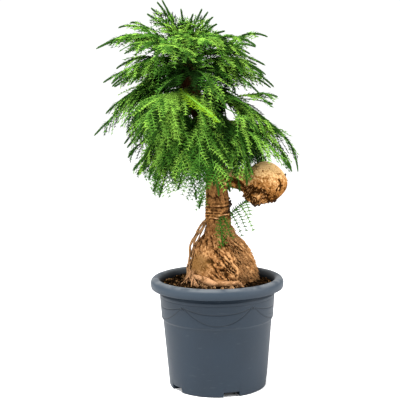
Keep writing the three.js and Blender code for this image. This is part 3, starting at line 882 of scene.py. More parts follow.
def tan_bark(name, pale, middle, dark, thin_from=None):
    """Three browns by a tone: noise less the deep mark, which paints shade dark and highlight pale. Ochre
    where worn, the stem's own from a height on, painted dark where the crown shades it.
    """
    f = Finish(name)
    cloud = f.grain(30, 4)
    fine = f.grain(3.6, 6)
    streak = f.grain(2.4, 4, (6, 1, 1), 53)
    tone = fine * 0.6 + streak * 0.4 + cloud * 0.35 - f.mark("deep") * 0.42
    base = tone.fit(0.32, 0.56).blend(dark, middle)
    base = tone.fit(0.54, 0.78).blend(base, pale)
    base = (f.mark("worn").fit(0.1, 0.7) * 0.75).blend(base, OCHRE)
    if thin_from is not None:
        thin = f.height().fit(*thin_from)
        bark = tone.fit(0.46, 0.9).blend(STEM_DARK, STEM_TAN)
        bark = tone.fit(0.84, 1.1).blend(bark, STEM_HIGHLIGHT)
        base = thin.blend(base, bark)
        base = (f.height().fit(*CROWN_SHADE) * 0.93).blend(base, STEM_SHADED)
    return f.done(base, 0.8, fine + 0.6 * streak, 1.1, gloss=0.0)


# The foot's browns by tone: dark where the deep mark paints shade, pale where it paints highlight, with noise
# between.
PALE_BARK = (0.43, 0.23, 0.096)
MIDDLE_BARK = (0.188, 0.08, 0.026)
DARK_BARK = (0.02, 0.008, 0.002)
THIN_BARK = (352, 376)  # heights between which the foot's bark gives way to the stem's
trunk_bark = tan_bark("trunk_bark", PALE_BARK, MIDDLE_BARK, DARK_BARK, THIN_BARK)
print("finish:", trunk_bark.name)

# %% Trunk surface
TRUNK_LOW, TRUNK_TOP = 230, 790  # heights of the first and the last ring
TRUNK_ROWS = [(TRUNK_LOW, 420, 176), (422.5, 500, 32), (506, TRUNK_TOP, 48)]  # from, to, rings
TRUNK_POLES = [(15, 0, TRUNK_LOW), (-64, 0, TRUNK_TOP + 0.5)]
TRUNK_FADE = 740  # height from which the relief fades out up to the tip


def trunk_surface(columns=360):
    """Level rings about the leaning middle line: radius times lobes, plus the relief."""
    height = np.concatenate([np.linspace(*rows) for rows in TRUNK_ROWS])[:, None]
    angle = round_angles(columns)[None]
    lean, radius = trunk_at(height)
    reach = radius * foot_lobes(angle, height)
    level = height + 0 * angle
    relief, deep, worn = bark_relief(polar(reach, angle, level, lean), angle, level)
    relief = relief * smooth_step(level, TRUNK_TOP, TRUNK_FADE)
    return closed_grid(polar(reach + relief, angle, level, lean), TRUNK_POLES, deep=deep, worn=worn)


trunk_points, trunk_faces, trunk_marks = trunk_surface()
new_piece("trunk_bark", trunk_points, trunk_faces, trunk_bark, "bark", ["trunk"], trunk_marks)

# %% [markdown]
# ## Burl
# A ball of burr wood hangs at the right on a short thick arm. Joining a ball to a rod by a boolean leaves
# a hard seam, so both are one profile carried along the arm's line: the larger of the rod's radius and
# the ball's, eased where they meet. Its lower left corner is torn, flaky and hollow, the rest is smooth.

# %% Relief of the burl
BURL_MIDDLE = np.array([110.0, -14, 460])
BURL_RADIUS = 46
ARM_ROOT = np.array([-1.5, 0, 474])
BURL_PITS = [  # place from the burl's middle, width, depth
    ((-29, -33, -13), 7, 5), ((-36, -22, -24), 8, 5), ((-14, -38, -14), 5, 2.5),
]
KNOB = (-0.78, -0.2, -0.6)  # middle of the torn corner, in radii from the burl's


def burl_pits(place):
    """Bell-shaped pits, each at its place with its own width and depth."""
    away = [np.sum((place - at) ** 2, axis=-1) / wide**2 for at, wide, _ in BURL_PITS]
    return sum(pit[2] * np.exp(-far) for pit, far in zip(BURL_PITS, away))


def burl_relief(unit_place, place):
    """Relief in millimetres and the deep mark: broad lumps, as on the solid, noise, cracks and pits. The deep
    mark paints shade in the cracks, pits, crescent, specks and along the torn corner's edge, and paints light
    from above, pale on top and dark underneath.
    """
    x, y, z = np.moveaxis(unit_place, -1, 0)
    lump = np.sin(3.1 * x + 1.7) * np.sin(2.6 * y + 0.4) + 0.6 * np.sin(4.3 * z + 2 * x)
    flaky = smooth_step(unit_place @ (-0.4, -0.1, -0.9) - 0.5 * smooth_step(x, -0.1, 0.35), 0.2, 0.8)
    pits = burl_pits(place)
    crescent = bell(x - 0.62 + 0.9 * (z + 0.1) ** 2, 0.035) * (np.abs(z + 0.05) < 0.3) * (y < 0)
    cracks = crack(place, (26, 26, 13), 21, 0.08) * (0.25 + flaky)
    rough = (0.3 + 1.5 * flaky) * (noise(place, (12, 12, 5), 22) + 0.8 * noise(place, (6, 6, 2.6), 23))
    ragged = flaky + 0.2 * noise(place, 10, 24) + 0.1 * noise(place, 4, 25)
    shelf = smooth_step(ragged, 0.3, 0.4)
    edge = bell(ragged - 0.36, 0.05)
    shade = shelf * smooth_step(ragged, 0.95, 0.6)
    knob = np.exp(-np.sum((unit_place - KNOB) ** 2, axis=-1) / 0.42)
    specks = smooth_step(noise(place, 5, 26), 0.6, 0.8)
    relief = 0.06 * BURL_RADIUS * lump + 16 * knob + rough
    relief = relief - 1.5 * cracks - pits - 1.6 * crescent - 4 * shelf - specks
    deep = 0.8 * cracks + pits / 6 + 0.9 * crescent + 0.3 * edge + 0.8 * shade
    deep = deep + shelf * (0.05 - 0.28 * rough) + 0.8 * specks
    # Painted light from above: the deep mark falls with height, so the top is paler and the underside darker.
    return relief, deep - 0.6 * z + 0.2


print("pits at the first one's middle:", round(float(burl_pits(np.array(BURL_PITS[0][0]))), 1))

# %% Burl surface
ROD = (18.5, 10)  # the arm's radius at its root, and how much more it is at the ball
ARM_START, ARM_RINGS = 8, 32  # millimetres from the root to the first ring, and the count of rings
BALL_RINGS = (24, 178, 150)  # degrees round the ball from the arm to the far side, and the count of rings
ARM_FADE = np.array([30, 55])  # millimetres before the ball's middle over which its relief ends


def eased_larger(a, b, soft=7):
    """The larger of two lengths, rounded off where they are within soft of each other."""
    near = np.maximum(soft - np.abs(a - b), 0)
    return np.maximum(a, b) + near**2 / (4 * soft)


def burl_surface(columns=200):
    """Rings square to the arm's line: its profile is the eased larger of rod and ball."""
    way = unit(BURL_MIDDLE - ARM_ROOT)
    far = np.linalg.norm(BURL_MIDDLE - ARM_ROOT)
    ball = far - BURL_RADIUS * np.cos(np.radians(np.linspace(*BALL_RINGS)))
    along = np.concatenate([np.linspace(ARM_START, ball[0] - 2, ARM_RINGS), ball])[:, None]
    rod = ROD[0] + ROD[1] * np.minimum(along / far, 1)
    round_part = np.sqrt(np.maximum(BURL_RADIUS**2 - (along - far) ** 2, 0))
    reach = np.where(along > far, round_part, eased_larger(rod, round_part))
    across = unit(np.cross(UP, way))
    turn = round_angles(columns)[None, :, None]
    out = np.cos(turn) * across + np.sin(turn) * np.cross(way, across)
    skin = ARM_ROOT + way * along[..., None] + out * reach[..., None]
    place = skin - BURL_MIDDLE
    relief, deep = burl_relief(place / BURL_RADIUS, place)
    on_arm = smooth_step(along, *(far - ARM_FADE))
    outward = unit(on_arm[..., None] * out + (1 - on_arm[..., None]) * unit(place))
    moved = skin + outward * (relief * (1 - 0.6 * on_arm))[..., None]
    return moved, deep


burl_grid, burl_shade = burl_surface()
burl_poles = np.stack([burl_grid[0].mean(axis=0), burl_grid[-1].mean(axis=0)])
burl_marks = dict(deep=burl_shade, worn=np.zeros_like(burl_shade))
burl_points, burl_faces, burl_marks = closed_grid(burl_grid, burl_poles, **burl_marks)
# The burl's browns: pale where the deep mark paints light from above, dark where it paints shade.
burl_bark = tan_bark("burl_bark", (0.58, 0.37, 0.168), (0.235, 0.099, 0.026), (0.024, 0.009, 0.002))
new_piece("burl_bark", burl_points, burl_faces, burl_bark, "bark", ["burl"], burl_marks)

# %% [markdown]
# ## Roots
# One thin root stands off the foot at the left in three strands, another lies along the front, and fine
# ones spread over the mix at the left and hang below the front one. Each is a tapering tube along a line
# off the foot's skin. The strands wind about each other, so daylight shows between them and the foot.

# %% Lines on the foot
ROOT_SIDE = (0.3, 0.2, 1.0)  # a direction that no root runs along
ROOT_END = 234  # height, just under the mix, where roots end
KNOTS = 0.22  # share by which a root's radius swells and shrinks


def on_foot(azimuth, height, stand_off):
    """Points at an azimuth and height, a distance off the foot's skin."""
    angle = np.radians(azimuth)
    skin_height = np.maximum(height, TRUNK[0, 2])
    lean, radius = trunk_at(skin_height)
    return polar(radius * foot_lobes(angle, skin_height) + stand_off, angle, height, lean)


def knotty(paths, radii, sides, seed, girth=3, drawn=(1, 1, 1)):
    """Tubes whose radius swells and shrinks with noise along the line, in cells drawn out along it."""
    skin = (paths[..., None, :] + polar(girth, round_angles(sides), 0.0)) / drawn
    wave = 0.8 * noise(skin, 6, seed) + 0.45 * noise(skin, 2.6, seed + 5)
    sideways = np.broadcast_to(ROOT_SIDE, (len(paths), 3))
    return tubes(paths, radii[..., None] * (1 + KNOTS * wave), sideways, sides), wave


print("front of the foot at 260 mm:", np.round(on_foot(-90, 260, 0), 1))

# %% Strap root and front root
STRAP_LINE = np.array([  # height, reach from the trunk's middle
    (378, 26), (356, 42), (338, 55), (320, 64), (290, 73.5), (262, 81), (236, 85),
])
STRAP_AZIMUTH = 191
WIND, SWAY = (3.1, 0.36), (2.3, 0.3)  # turns along the root, and from strand to strand
STRANDS = [(-5, 1.6, 3.0, 0.5), (0.5, 2.2, 2.5, 0.3), (5.5, 1.2, 1.9, 0.2)]  # inset, swing, radius, taper
FRONT_ROOT = dict(start=206, end=303, height=246, stand_off=7.2, radius=8.0)  # azimuths, then millimetres


def strap_root():
    """Three strands from neck to mix, one behind the other, that wind about the root's line."""
    share = np.linspace(0, 1, 100)
    height = STRAP_LINE[0, 0] + (ROOT_END - STRAP_LINE[0, 0]) * share
    middle = np.interp(height, *STRAP_LINE[::-1].T)
    middle = np.convolve(np.pad(middle, 6, "reflect", reflect_type="odd"), np.full(13, 1 / 13), "valid")
    lean = trunk_at(np.maximum(height, TRUNK[0, 2]))[0]
    lines = []
    for strand, (inset, swing, _, _) in enumerate(STRANDS):
        wind = np.sin(2 * np.pi * (share * WIND[0] + WIND[1] * strand))
        sway = np.cos(2 * np.pi * (share * SWAY[0] + SWAY[1] * strand))
        reach = middle - inset * np.sin(np.pi * np.minimum(1.6 * share, 1)) ** 0.5 + swing * wind
        azimuth = STRAP_AZIMUTH + 2.2 * strand + 2.4 * sway
        lines.append(polar(reach, np.radians(azimuth), height, lean))
    radii = [radius - taper * share for _, _, radius, taper in STRANDS]
    return knotty(np.stack(lines), np.stack(radii), sides=12, seed=32)


def front_root():
    """One root that leaves the left of the foot and sinks into the mix at the front right."""
    share = np.linspace(0, 1, 130)
    azimuth = FRONT_ROOT["start"] + (FRONT_ROOT["end"] - FRONT_ROOT["start"]) * share
    height = FRONT_ROOT["height"] + 10 * (1 - share) ** 2 + 1.2 * np.sin(9 * share)
    height = height - 14 * smooth_step(share, 0.86, 1)
    line = on_foot(azimuth, height, FRONT_ROOT["stand_off"] * (0.35 + 0.6 * share))
    radii = FRONT_ROOT["radius"] * (1 - 0.42 * share**2) * smooth_step(share, -0.3, 0.4)
    return knotty(line[None], radii[None], sides=26, seed=33, girth=9, drawn=(4.5, 1, 1.6))


def root_piece(name, made, finish, nodes=()):
    """A new piece whose swellings are painted pale as highlight and whose waists are painted dark as shade,
    by the deep mark.
    """
    (points, faces), wave = made
    deep = np.concatenate([-0.7 * wave.reshape(len(wave), -1), np.zeros((len(wave), 2))], axis=1)
    marks = {"deep": deep, "worn": np.zeros(len(points))}
    new_piece(name, points, faces, finish, "bark", nodes, marks)


root_bark = tan_bark("root_bark", (0.38, 0.205, 0.102), (0.19, 0.094, 0.039), (0.03, 0.015, 0.006))
strap_bark = tan_bark("strap_bark", (0.27, 0.15, 0.07), (0.12, 0.06, 0.026), (0.015, 0.008, 0.004))
root_piece("strap_root_strands", strap_root(), strap_bark, ["strap_root"])
root_piece("front_root_bark", front_root(), root_bark, ["front_root"])

# %% Fine roots
# The tuft stands at the strap root's foot, and the fringe hangs below the front root.
TUFT = dict(row=300, count=34, azimuth=200, spread=13, fan=34, top=250, more=20, stand=3, reach=24)
FRINGE = dict(row=350, count=44, azimuth=255, spread=46, fan=8, top=239, more=7, stand=10, reach=12)


def fine_roots(row, count, azimuth, spread, fan, top, more, stand, reach):
    """Thin tubes off the foot's skin: out and down along a parabola to the mix."""
    row = row + np.arange(count)
    share = np.linspace(0, 1, 14)
    azimuth = azimuth + fan * vary(row, 1)[:, None] * share + spread * vary(row, 2)[:, None]
    top = top + more * chance(row, 3)[:, None]
    height = top + (ROOT_END - top) * share**0.8
    stand = stand + (5 + reach * chance(row, 4)[:, None] ** 2) * share**1.2
    wobble = noise(np.stack(np.broadcast_arrays(share * 40, 0.0, 7.0 * row[:, None]), axis=-1), 9, 34)
    lines = on_foot(azimuth, height, stand) + 1.6 * wobble[..., None] * (1, 1, 0)
    radii = (0.8 + 1.0 * chance(row, 5)[:, None] ** 2) * (1 - 0.3 * share)
    return knotty(lines, radii, sides=6, seed=35)


root_piece("fine_roots_1", fine_roots(**TUFT), root_bark)
root_piece("fine_roots_2", fine_roots(**FRINGE), strap_bark)

# %% [markdown]
# ## Needles and flakes share one form
# A needle of this tree is an awl: thickest at its foot and drawn out to a point. Three points round the
# foot and one at the tip are the least that gives that outline, closed, in four faces. The flakes of bark
# on the foot of the trunk are the same form, laid nearly flat.

# %% Awls
AWL = [(0, 2, 1), (0, 1, 3), (1, 2, 3), (2, 0, 3)]  # the foot's points come first, the tip last


def awls(feet, headings, lengths, widths):
    """Closed awls: a triangle of points square to the heading at the foot, and a tip."""
    side = unit(np.cross(headings, headings[:, [1, 2, 0]] + (0.3, 0.1, -0.2)))
    lift = np.cross(headings, side)
    girth = [np.cos(a) * side + np.sin(a) * lift for a in np.radians((90, 210, 330))]
    around = [feet + g * (0.5 * widths)[:, None] for g in girth]
    points = np.stack([*around, feet + headings * lengths[:, None]], axis=1).reshape(-1, 3)
    return points, repeated(AWL, len(feet))


print("faces of an awl:", len(AWL))

# %% Flakes
FOOT_FLAKES = dict(row=5000, count=2400, azimuth=-28, reach=78, low=246, rise=116)
BURL_FLAKES = dict(row=8000, count=80)
TORN_CORNER = (-0.5, -0.6, -0.55)  # heading of the burl's torn corner from its middle


def bark_flakes():
    """Flakes on the foot, thick on its right: they lean off the skin along the slant of the roots."""
    row = FOOT_FLAKES["row"] + np.arange(FOOT_FLAKES["count"])
    azimuth = FOOT_FLAKES["azimuth"] + FOOT_FLAKES["reach"] * vary(row, 1) * np.sqrt(chance(row, 2))
    azimuth = azimuth + 180 * (chance(row, 9) > 0.8)
    feet = on_foot(azimuth, FOOT_FLAKES["low"] + FOOT_FLAKES["rise"] * chance(row, 3), 0.4)
    out = polar(1.0, np.radians(azimuth), 0.0)
    along = turned(np.cross(UP, out), UP, -52 + 40 * vary(row, 4))
    headings = unit(turned(along, out, 8 + 46 * chance(row, 5) ** 2))
    return awls(feet, headings, 5 + 10 * chance(row, 6) ** 2, 1.2 + 1.4 * chance(row, 7))


def on_burl(ways):
    """The point of the burl's skin that lies nearest to each heading from its middle."""
    skin = burl_grid.reshape(-1, 3)
    return skin[np.argmax(ways @ unit(skin - BURL_MIDDLE).T, axis=1)]


def burl_flakes():
    """Flakes in the torn corner of the burl: they hang from its skin and stand off it a little."""
    row = BURL_FLAKES["row"] + np.arange(BURL_FLAKES["count"])
    out = unit(TORN_CORNER + 0.5 * vary_3(row, 1))
    headings = unit(0.7 * out - UP + 0.9 * vary_3(row, 4))
    return awls(on_burl(out), headings, 4 + 6 * chance(row, 7) ** 2, 1.6 + 1.6 * chance(row, 8))


flake_finish = Finish("bark_flakes").done((0.31, 0.155, 0.06), 0.85, gloss=0.0)
new_piece("bark_flakes", *joined([bark_flakes(), burl_flakes()]), flake_finish, "bark")

# %% Dark stubs
TRUNK_STUBS = [  # azimuth, height, size
    (-9, 414, 7), (-20, 406, 5), (4, 424, 4), (-162, 418, 3), (-30, 398, 4), (-5, 446, 5),
]
BURL_STUBS = [  # heading from the burl's middle, and size
    ((-0.45, -0.2, -0.87), 7), ((-0.34, -0.26, -0.9), 5), ((0.43, -0.3, -0.85), 5),
    ((0.9, -0.25, 0.4), 4), ((-0.87, -0.1, -0.48), 4.5), ((0.97, -0.1, 0.1), 2.6),
    ((-0.72, -0.2, -0.66), 4.5), ((0.1, -0.3, -0.95), 3),
]
STUB_LUMPS = 7
STUB_ROW = 7000  # where their chances start


def stub_places():
    """Each stub sits on the skin of the trunk or of the burl."""
    azimuth, height, sizes = np.transpose(TRUNK_STUBS)
    ways, more = zip(*BURL_STUBS)
    places = np.concatenate([on_foot(azimuth, height, 0), on_burl(np.array(ways))])
    return places, np.append(sizes, more)


def dark_stubs():
    """A handful of small octahedra about each stub's place make a ragged crumb."""
    places, size = (np.repeat(values, STUB_LUMPS, axis=0) for values in stub_places())
    row = STUB_ROW + np.arange(len(places))
    centres = places + 0.6 * size[:, None] * vary_3(row, 1)
    return lumps(centres, size[:, None] * (0.35 + 0.4 * chance_3(row, 4)), row)


stub_finish = Finish("dark_stubs").done((0.028, 0.017, 0.011), 0.9)
new_piece("dark_stubs", *dark_stubs(), stub_finish, "bark", smooth=False)

# %% [markdown]
# ## Boughs
# Four tiers of boughs leave the trunk, arch over and droop. They follow the same rule as the solids: each
# is a cubic curve whose handles come from its tier's rise, reach and droop, with a repeatable share of
# chance. On the living tree each bough forks again near the trunk, so five to seven side boughs grow on
# from it by the same rule, each a share of the way to its neighbours.

# %% The tiers' rule
TIERS = {
    "top": dict(height=742, count=6, turn=8, reach=178, rise=32, tip=14, droop=30, hang=0),
    "upper": dict(height=702, count=6, turn=36, reach=180, rise=32, tip=-34, droop=42, hang=8),
    "middle": dict(height=654, count=6, turn=-10, reach=192, rise=24, tip=-76, droop=46, hang=10),
    "lower": dict(height=605, count=7, turn=12, reach=164, rise=28, tip=-128, droop=72, hang=10),
}
PULL = {"top": -0.07, "upper": 0.06, "middle": -0.06, "lower": 0.22}  # how much longer they are at the right
CANT = {"top": 16, "upper": 0, "middle": 0, "lower": 0}  # how much lower they end there
for name, tier in TIERS.items():
    tier.update(pull=PULL[name], cant=CANT[name])
VARY = dict(azimuth=9, reach=0.12, tip=22, fork_tip=14, height=8, stagger=11, sway=26)
SPLIT = 0.18  # share of a bough where its needles begin
HANDLE, FORK_HANDLE = 0.4, 0.55  # a handle's length per reach, and a side bough's first one per that
FORK_FROM, FORK_SPREAD = 0.02, 0.12  # shares of a bough, beyond the split, where side boughs leave it


def level_way(azimuth):
    """A level unit direction."""
    return polar(1.0, np.radians(azimuth), 0.0)


def on_curve(handles, t):
    """Points of cubic curves at shares t, by their four weights."""
    t = np.asarray(t)[..., None]
    a, b, c, d = handles
    return (1 - t) ** 3 * a + 3 * (1 - t) ** 2 * t * b + 3 * (1 - t) * t**2 * c + t**3 * d


def curve_way(handles, t):
    """Unit tangents: the curve's slope is the weighted mean of its handles' steps."""
    t = np.asarray(t)[..., None]
    a, b, c, d = handles
    return unit((1 - t) ** 2 * (b - a) + 2 * (1 - t) * t * (c - b) + t**2 * (d - c))


def bough_handles(tier, row, index, fork=0.0, parent=None):
    """Root, shoulder, elbow and tip: out at the rise, in along the droop, the tip swayed aside."""
    azimuth = tier["turn"] + 360 / tier["count"] * (index + fork) + VARY["azimuth"] * vary(row, 1)
    out = level_way(azimuth)
    aside = level_way(azimuth + 90)
    reach = tier["reach"] * (1 + tier["pull"] * out[0]) * (1 + VARY["reach"] * vary(row, 2))
    step = VARY["stagger"] if index % 2 else -VARY["stagger"]
    height = tier["height"] + step + VARY["height"] * vary(row, 5)
    lean, radius = trunk_at(height)
    root = np.array([lean, 0, height]) + out * radius / 2
    handle = HANDLE * reach
    rise, droop = np.radians(tier["rise"]), np.radians(tier["droop"])
    rest = tier["tip"] - tier["cant"] * out[0] + VARY["tip"] * vary(row, 3)
    tip = root + out * reach + aside * VARY["sway"] * vary(row, 4) + UP * rest
    shoulder = root + handle * (np.cos(rise) * out + np.sin(rise) * UP)
    elbow = tip - handle * (np.cos(droop) * out - np.sin(droop) * UP)
    if parent is not None:
        start = SPLIT + FORK_FROM + FORK_SPREAD * chance(row, 7)
        root = on_curve(parent, start)
        shoulder = root + FORK_HANDLE * handle * curve_way(parent, start)
    return np.stack([root, shoulder, elbow, tip]), aside


print("top bough 1 ends at", np.round(bough_handles(TIERS["top"], 1, 0)[0][3], 0))

# %% Boughs and side boughs
FORKS = [  # side boughs: share of the way to the next bough, share of the reach, lift of the tip
    (-0.34, 0.88, 4), (0.33, 0.92, -6), (-0.17, 0.62, 10), (0.16, 0.56, -10), (0.5, 0.42, 4),
]
MORE_FORKS = {  # further side boughs that hang lower
    "lower": [(0.05, 0.74, -30), (-0.3, 0.5, -4)], "middle": [(0.1, 0.72, -50), (-0.28, 0.66, -36)],
}
BARE_FROM = {"top": 0.8, "upper": 0.81, "middle": 0.85, "lower": 0.88}  # share where a dark tip begins
TIER_ROWS, FORK_ROWS = 20, 200  # steps between the rows that chances are dealt by
LED_BOUGHS = {"lower_7": (247, 186, -96), "upper_5": (214, 94, -150)}  # tips of main ones: pixel, depth
ELBOW_SHARE = 0.8  # how far an elbow goes along with its tip
FLATTER = {"lower_1": 26, "lower_2": 26}  # degrees less rise, to keep below a gap
YOUNG_MASS = "middle_6"  # the lime green bough in front
YOUNG_WAY = [(170, 90, -60), (190, 93, -130), (221, 123, -172)]  # its shoulder, elbow and tip
YOUNG = dict(young=True, length=18, bare=0.98)  # it has short twigs and no dark tip


def lead(handles, tip):
    """Moves a bough's tip to a place, and its elbow most of that way."""
    handles[2:] += (tip - handles[3]) * np.array([[ELBOW_SHARE], [1]])


def side_boughs(base, tier, row, index, parent):
    """The boughs that grow on from a bough: its tier's rule with less reach, between its neighbours."""
    made = []
    for side, (fork, share, lift) in enumerate(FORKS + MORE_FORKS.get(base["tier"], [])):
        fork_row = row + FORK_ROWS * (side + 1)
        tip = tier["tip"] + lift + VARY["fork_tip"] * vary(fork_row, 8)
        less = dict(tier, reach=tier["reach"] * share, tip=tip)
        handles, aside = bough_handles(less, fork_row, index, fork, parent)
        made.append(dict(base, row=fork_row, handles=handles, aside=aside, size=0.4 + 0.5 * share))
    return made


def bough_stems():
    """The boughs of all tiers, each followed by its side boughs."""
    made = []
    for number, (name, tier) in enumerate(TIERS.items()):
        for index in range(tier["count"]):
            row = TIER_ROWS * number + index + 1
            mass = f"{name}_{index + 1}"
            own = dict(tier, rise=tier["rise"] - FLATTER.get(mass, 0))
            handles, aside = bough_handles(own, row, index)
            base = dict(mass=mass, tier=name, hang=tier["hang"], spiral=False, bare=BARE_FROM[name])
            made.append(dict(base, row=row, handles=handles, aside=aside, size=1.0))
            if mass in LED_BOUGHS:
                lead(handles, seen_at(*LED_BOUGHS[mass]))
            if mass == YOUNG_MASS:
                handles[1:] = [seen_at(*pixel) for pixel in YOUNG_WAY]
                made[-1].update(YOUNG)
            made += side_boughs(base, tier, row, index, handles)
    return made


boughs = bough_stems()
print("boughs and side boughs:", len(boughs))

# %% Side boughs led to where the photo shows them
PHOTO_TIPS = [  # ends of side boughs that show in the photo: pixel, and depth Y
    (101, 47, 0), (118, 28, 10), (130, 23, 20), (124, 54, -40), (116, 69, 10), (103, 83, -10), (114, 87, -50),
    (130, 85, -80), (124, 144, 10), (128, 158, -30), (133, 171, -50), (137, 175, -60), (150, 168, -60),
    (153, 192, -60), (159, 198, -70), (178, 190, -90), (196, 200, -50), (199, 209, -60), (268, 37, -20),
    (256, 47, -40), (257, 65, -20), (266, 75, -30), (278, 97, -10), (273, 104, -30), (260, 94, -60),
    (281, 133, -40), (298, 172, -60), (292, 172, -80), (230, 192, -66), (240, 192, -62), (248, 180, -66),
    (214, 186, -70), (126, 133, 0), (127, 148, -20), (141, 163, -70), (147, 152, -95), (136, 142, -60),
    (271, 88, 0), (132, 126, -50), (253, 173, -72), (154, 78, -118),
]
ARCHED = {  # elbows of those that arch high, by their ends
    (298, 172, -60): (293, 116, -30), (154, 78, -118): (162, 54, -84),
}
LED_SIZE = 0.86  # the size that they count as


def led_to_photo(boughs):
    """The nearest free side bough of each end that the photo shows is led there, its elbow with it."""
    free = [bough for bough in boughs if bough["size"] < 1]
    for pixel in PHOTO_TIPS:
        tip = seen_at(*pixel)
        nearest = min(free, key=lambda bough: np.linalg.norm(bough["handles"][3] - tip))
        lead(nearest["handles"], tip)
        if pixel in ARCHED:
            nearest["handles"][2] = seen_at(*ARCHED[pixel])
        nearest["size"] = LED_SIZE
        free.remove(nearest)


led_to_photo(boughs)
print("side boughs led to the photo's ends:", len(PHOTO_TIPS))

# %% Windows and clearings
WINDOWS = [(229, 114, 8), (195, 117, 6), (262, 108, 7)]  # sky through the crown: pixel, radius
CLEARINGS = [  # trunk, burl and young bough, seen through the crown's front: pixel, radius, depth
    (189, 81, 5, 10), (273, 182, 30, 10), (216, 197, 18, 10), (234, 182, 4, 10), (242, 184, 4, 10),
    (187, 94, 8, -100), (195, 99, 8, -122), (204, 106, 8, -140), (214, 116, 8, -160),
]
KEPT_SIZE = 0.85  # larger boughs stay, whatever they cross


def off_sight(x, y, places):
    """Distance of each place from the line of sight through a pixel."""
    sight = unit(seen_at(x, y, 0) - CAMERA_PLACE)
    off = places - CAMERA_PLACE
    return np.linalg.norm(off - sight * (off @ sight)[..., None], axis=-1)


def blocks_view(stem):
    """True for side boughs that cross a window or end in front of a clearing."""
    if stem["size"] > KEPT_SIZE:
        return False
    way = on_curve(stem["handles"], np.linspace(0.3, 1, 12))
    in_window = [np.any(off_sight(x, y, way) < radius) for x, y, radius in WINDOWS]
    in_front = [np.any((off_sight(x, y, way) < r) & (way[:, 1] < depth)) for x, y, r, depth in CLEARINGS]
    return bool(np.any(in_window + in_front))


open_boughs = [bough for bough in boughs if not blocks_view(bough)]
print("side boughs left out for the openings:", len(boughs) - len(open_boughs))

# %% Shoots
SHOOTS = [  # mass, root's height, pixel and depth of the tip, bow upwards, twigs, their length, bare from
    ("leader", 780, (181, 9, -30), 2, 12, 22, 0.5),
    ("left_shoot", 765, (157, 2, 0), 8, 24, 42, 0.62),
    ("left_shoot", 768, (162, 0, -12), 2, 14, 26, 0.5),
    ("left_shoot", 758, (147, 14, -10), 10, 24, 40, 0.8),
    ("left_shoot", 762, (151, 8, 6), 8, 22, 38, 0.8),
    ("right_shoot", 765, (202, 9, -10), 4, 14, 24, 0.6),
    ("right_shoot", 760, (208, 12, 4), 6, 18, 32, 0.66),
    ("right_shoot", 756, (213, 17, -14), 8, 18, 32, 0.7),
    ("right_shoot", 752, (217, 24, -22), 8, 18, 32, 0.7),
    ("right_shoot", 748, (225, 31, -32), 10, 18, 34, 0.7),
    ("leader", 775, (193, 14, -40), 4, 12, 22, 0.55),
    ("leader", 772, (188, 22, 48), 6, 16, 30, 0.8),
    ("leader", 764, (167, 28, 52), 8, 18, 32, 0.8),
    ("leader", 758, (208, 31, 58), 8, 18, 32, 0.8),
    ("leader", 770, (178, 42, -78), 14, 20, 40, 0.9),
    ("leader", 766, (194, 46, -84), 14, 20, 40, 0.9),
    ("left_shoot", 756, (163, 48, -70), 14, 20, 40, 0.9),
    ("right_shoot", 752, (209, 52, -74), 14, 20, 40, 0.9),
    ("leader", 744, (184, 62, -96), 16, 22, 44, 0.9),
    ("right_shoot", 742, (203, 64, -92), 16, 22, 44, 0.9),
    ("upper_4", 672, (174, 97, 66), 14, 22, 40, 0.9),
    ("upper_3", 680, (190, 96, 74), 14, 22, 40, 0.9),
    ("upper_4", 692, (167, 93, 44), 14, 22, 44, 0.9),
    ("upper_4", 684, (160, 94, 30), 14, 22, 44, 0.9),
    ("low_shoot", 374, (247, 200, -34), 4, 5, 50, 0.94),
    ("low_shoot", 394, (223, 247, -68), 16, 12, 17, 0.94),
    ("low_shoot", 390, (231, 237, -64), 14, 7, 14, 0.94),
]
SHOOT_ROW = 91  # where their chances start
SHOOT = dict(tier="shoot", hang=0, spiral=True, size=0.7)
LOW_SHOOT = dict(spiral=False, sag=0.5)


def shoot_stems():
    """Shoots from inside the trunk to their tips, bowed up, with twigs in a spiral; low ones are flat."""
    made = []
    for number, (mass, height, pixel, bow, twigs, length, bare) in enumerate(SHOOTS):
        tip = seen_at(*pixel)
        lean, radius = trunk_at(height)
        centre = np.array([lean, 0, height])
        out = unit((tip - centre) * (1, 1, 0))
        root = centre + out * radius / 2
        handles = np.linspace(root, tip, 4) + UP * np.array([0, 1, 1, 0])[:, None] * bow
        base = dict(SHOOT, mass=mass, twigs=twigs, length=length, bare=bare)
        aside = unit(np.cross(UP, out))
        if mass == "low_shoot":
            aside = unit(np.cross((0, -1, 0), tip - root))
            rises = tip[2] > root[2]
            base.update(LOW_SHOOT, tier="low" if rises else "sprig", one_side=rises)
        made.append(dict(base, row=SHOOT_ROW + number, handles=handles, aside=aside))
    return made


stems = open_boughs + shoot_stems()
print("shoots:", len(SHOOTS))

# %% All stems
def curve_length(stem):
    """The sum of the steps between points along the curve."""
    steps = np.diff(on_curve(stem["handles"], np.linspace(0, 1, 20)), axis=0)
    return np.linalg.norm(steps, axis=1).sum()


def of_stems(read, numbers=slice(None)):
    """What read gives for each stem, dealt out to the numbers of stems."""
    return np.array([read(stem) for stem in stems])[numbers]


stem_length = of_stems(curve_length)
young_stems = of_stems(lambda stem: stem.get("young", False))
print("stems:", len(stems), "of", round(float(stem_length.sum()) * MM, 1), "metres")

# %% [markdown]
# The boughs' bark is thin: brown near the trunk and green further out, where needles have not yet fallen.
# So there are joined pieces of tapering tubes, one of each colour, that overlap a little. Two waves round
# the tubes and along them stand for scars. The young bough is lighter and gets its own piece later.

# %% Bough bark
MAIN_RADII, SIDE_RADII = (5.2, 2.6, 1.2), (2.0, 1.5, 0.9)  # at root, split and tip
GREEN_FROM, GREEN_TO = 0.3, 0.99  # shares of a stem between which its bark is green
OVERLAP = 0.02
SCARS = [(0.09, 3, 150), (0.08, 5, -210)]  # waves: share of the radius, count round a tube and along it


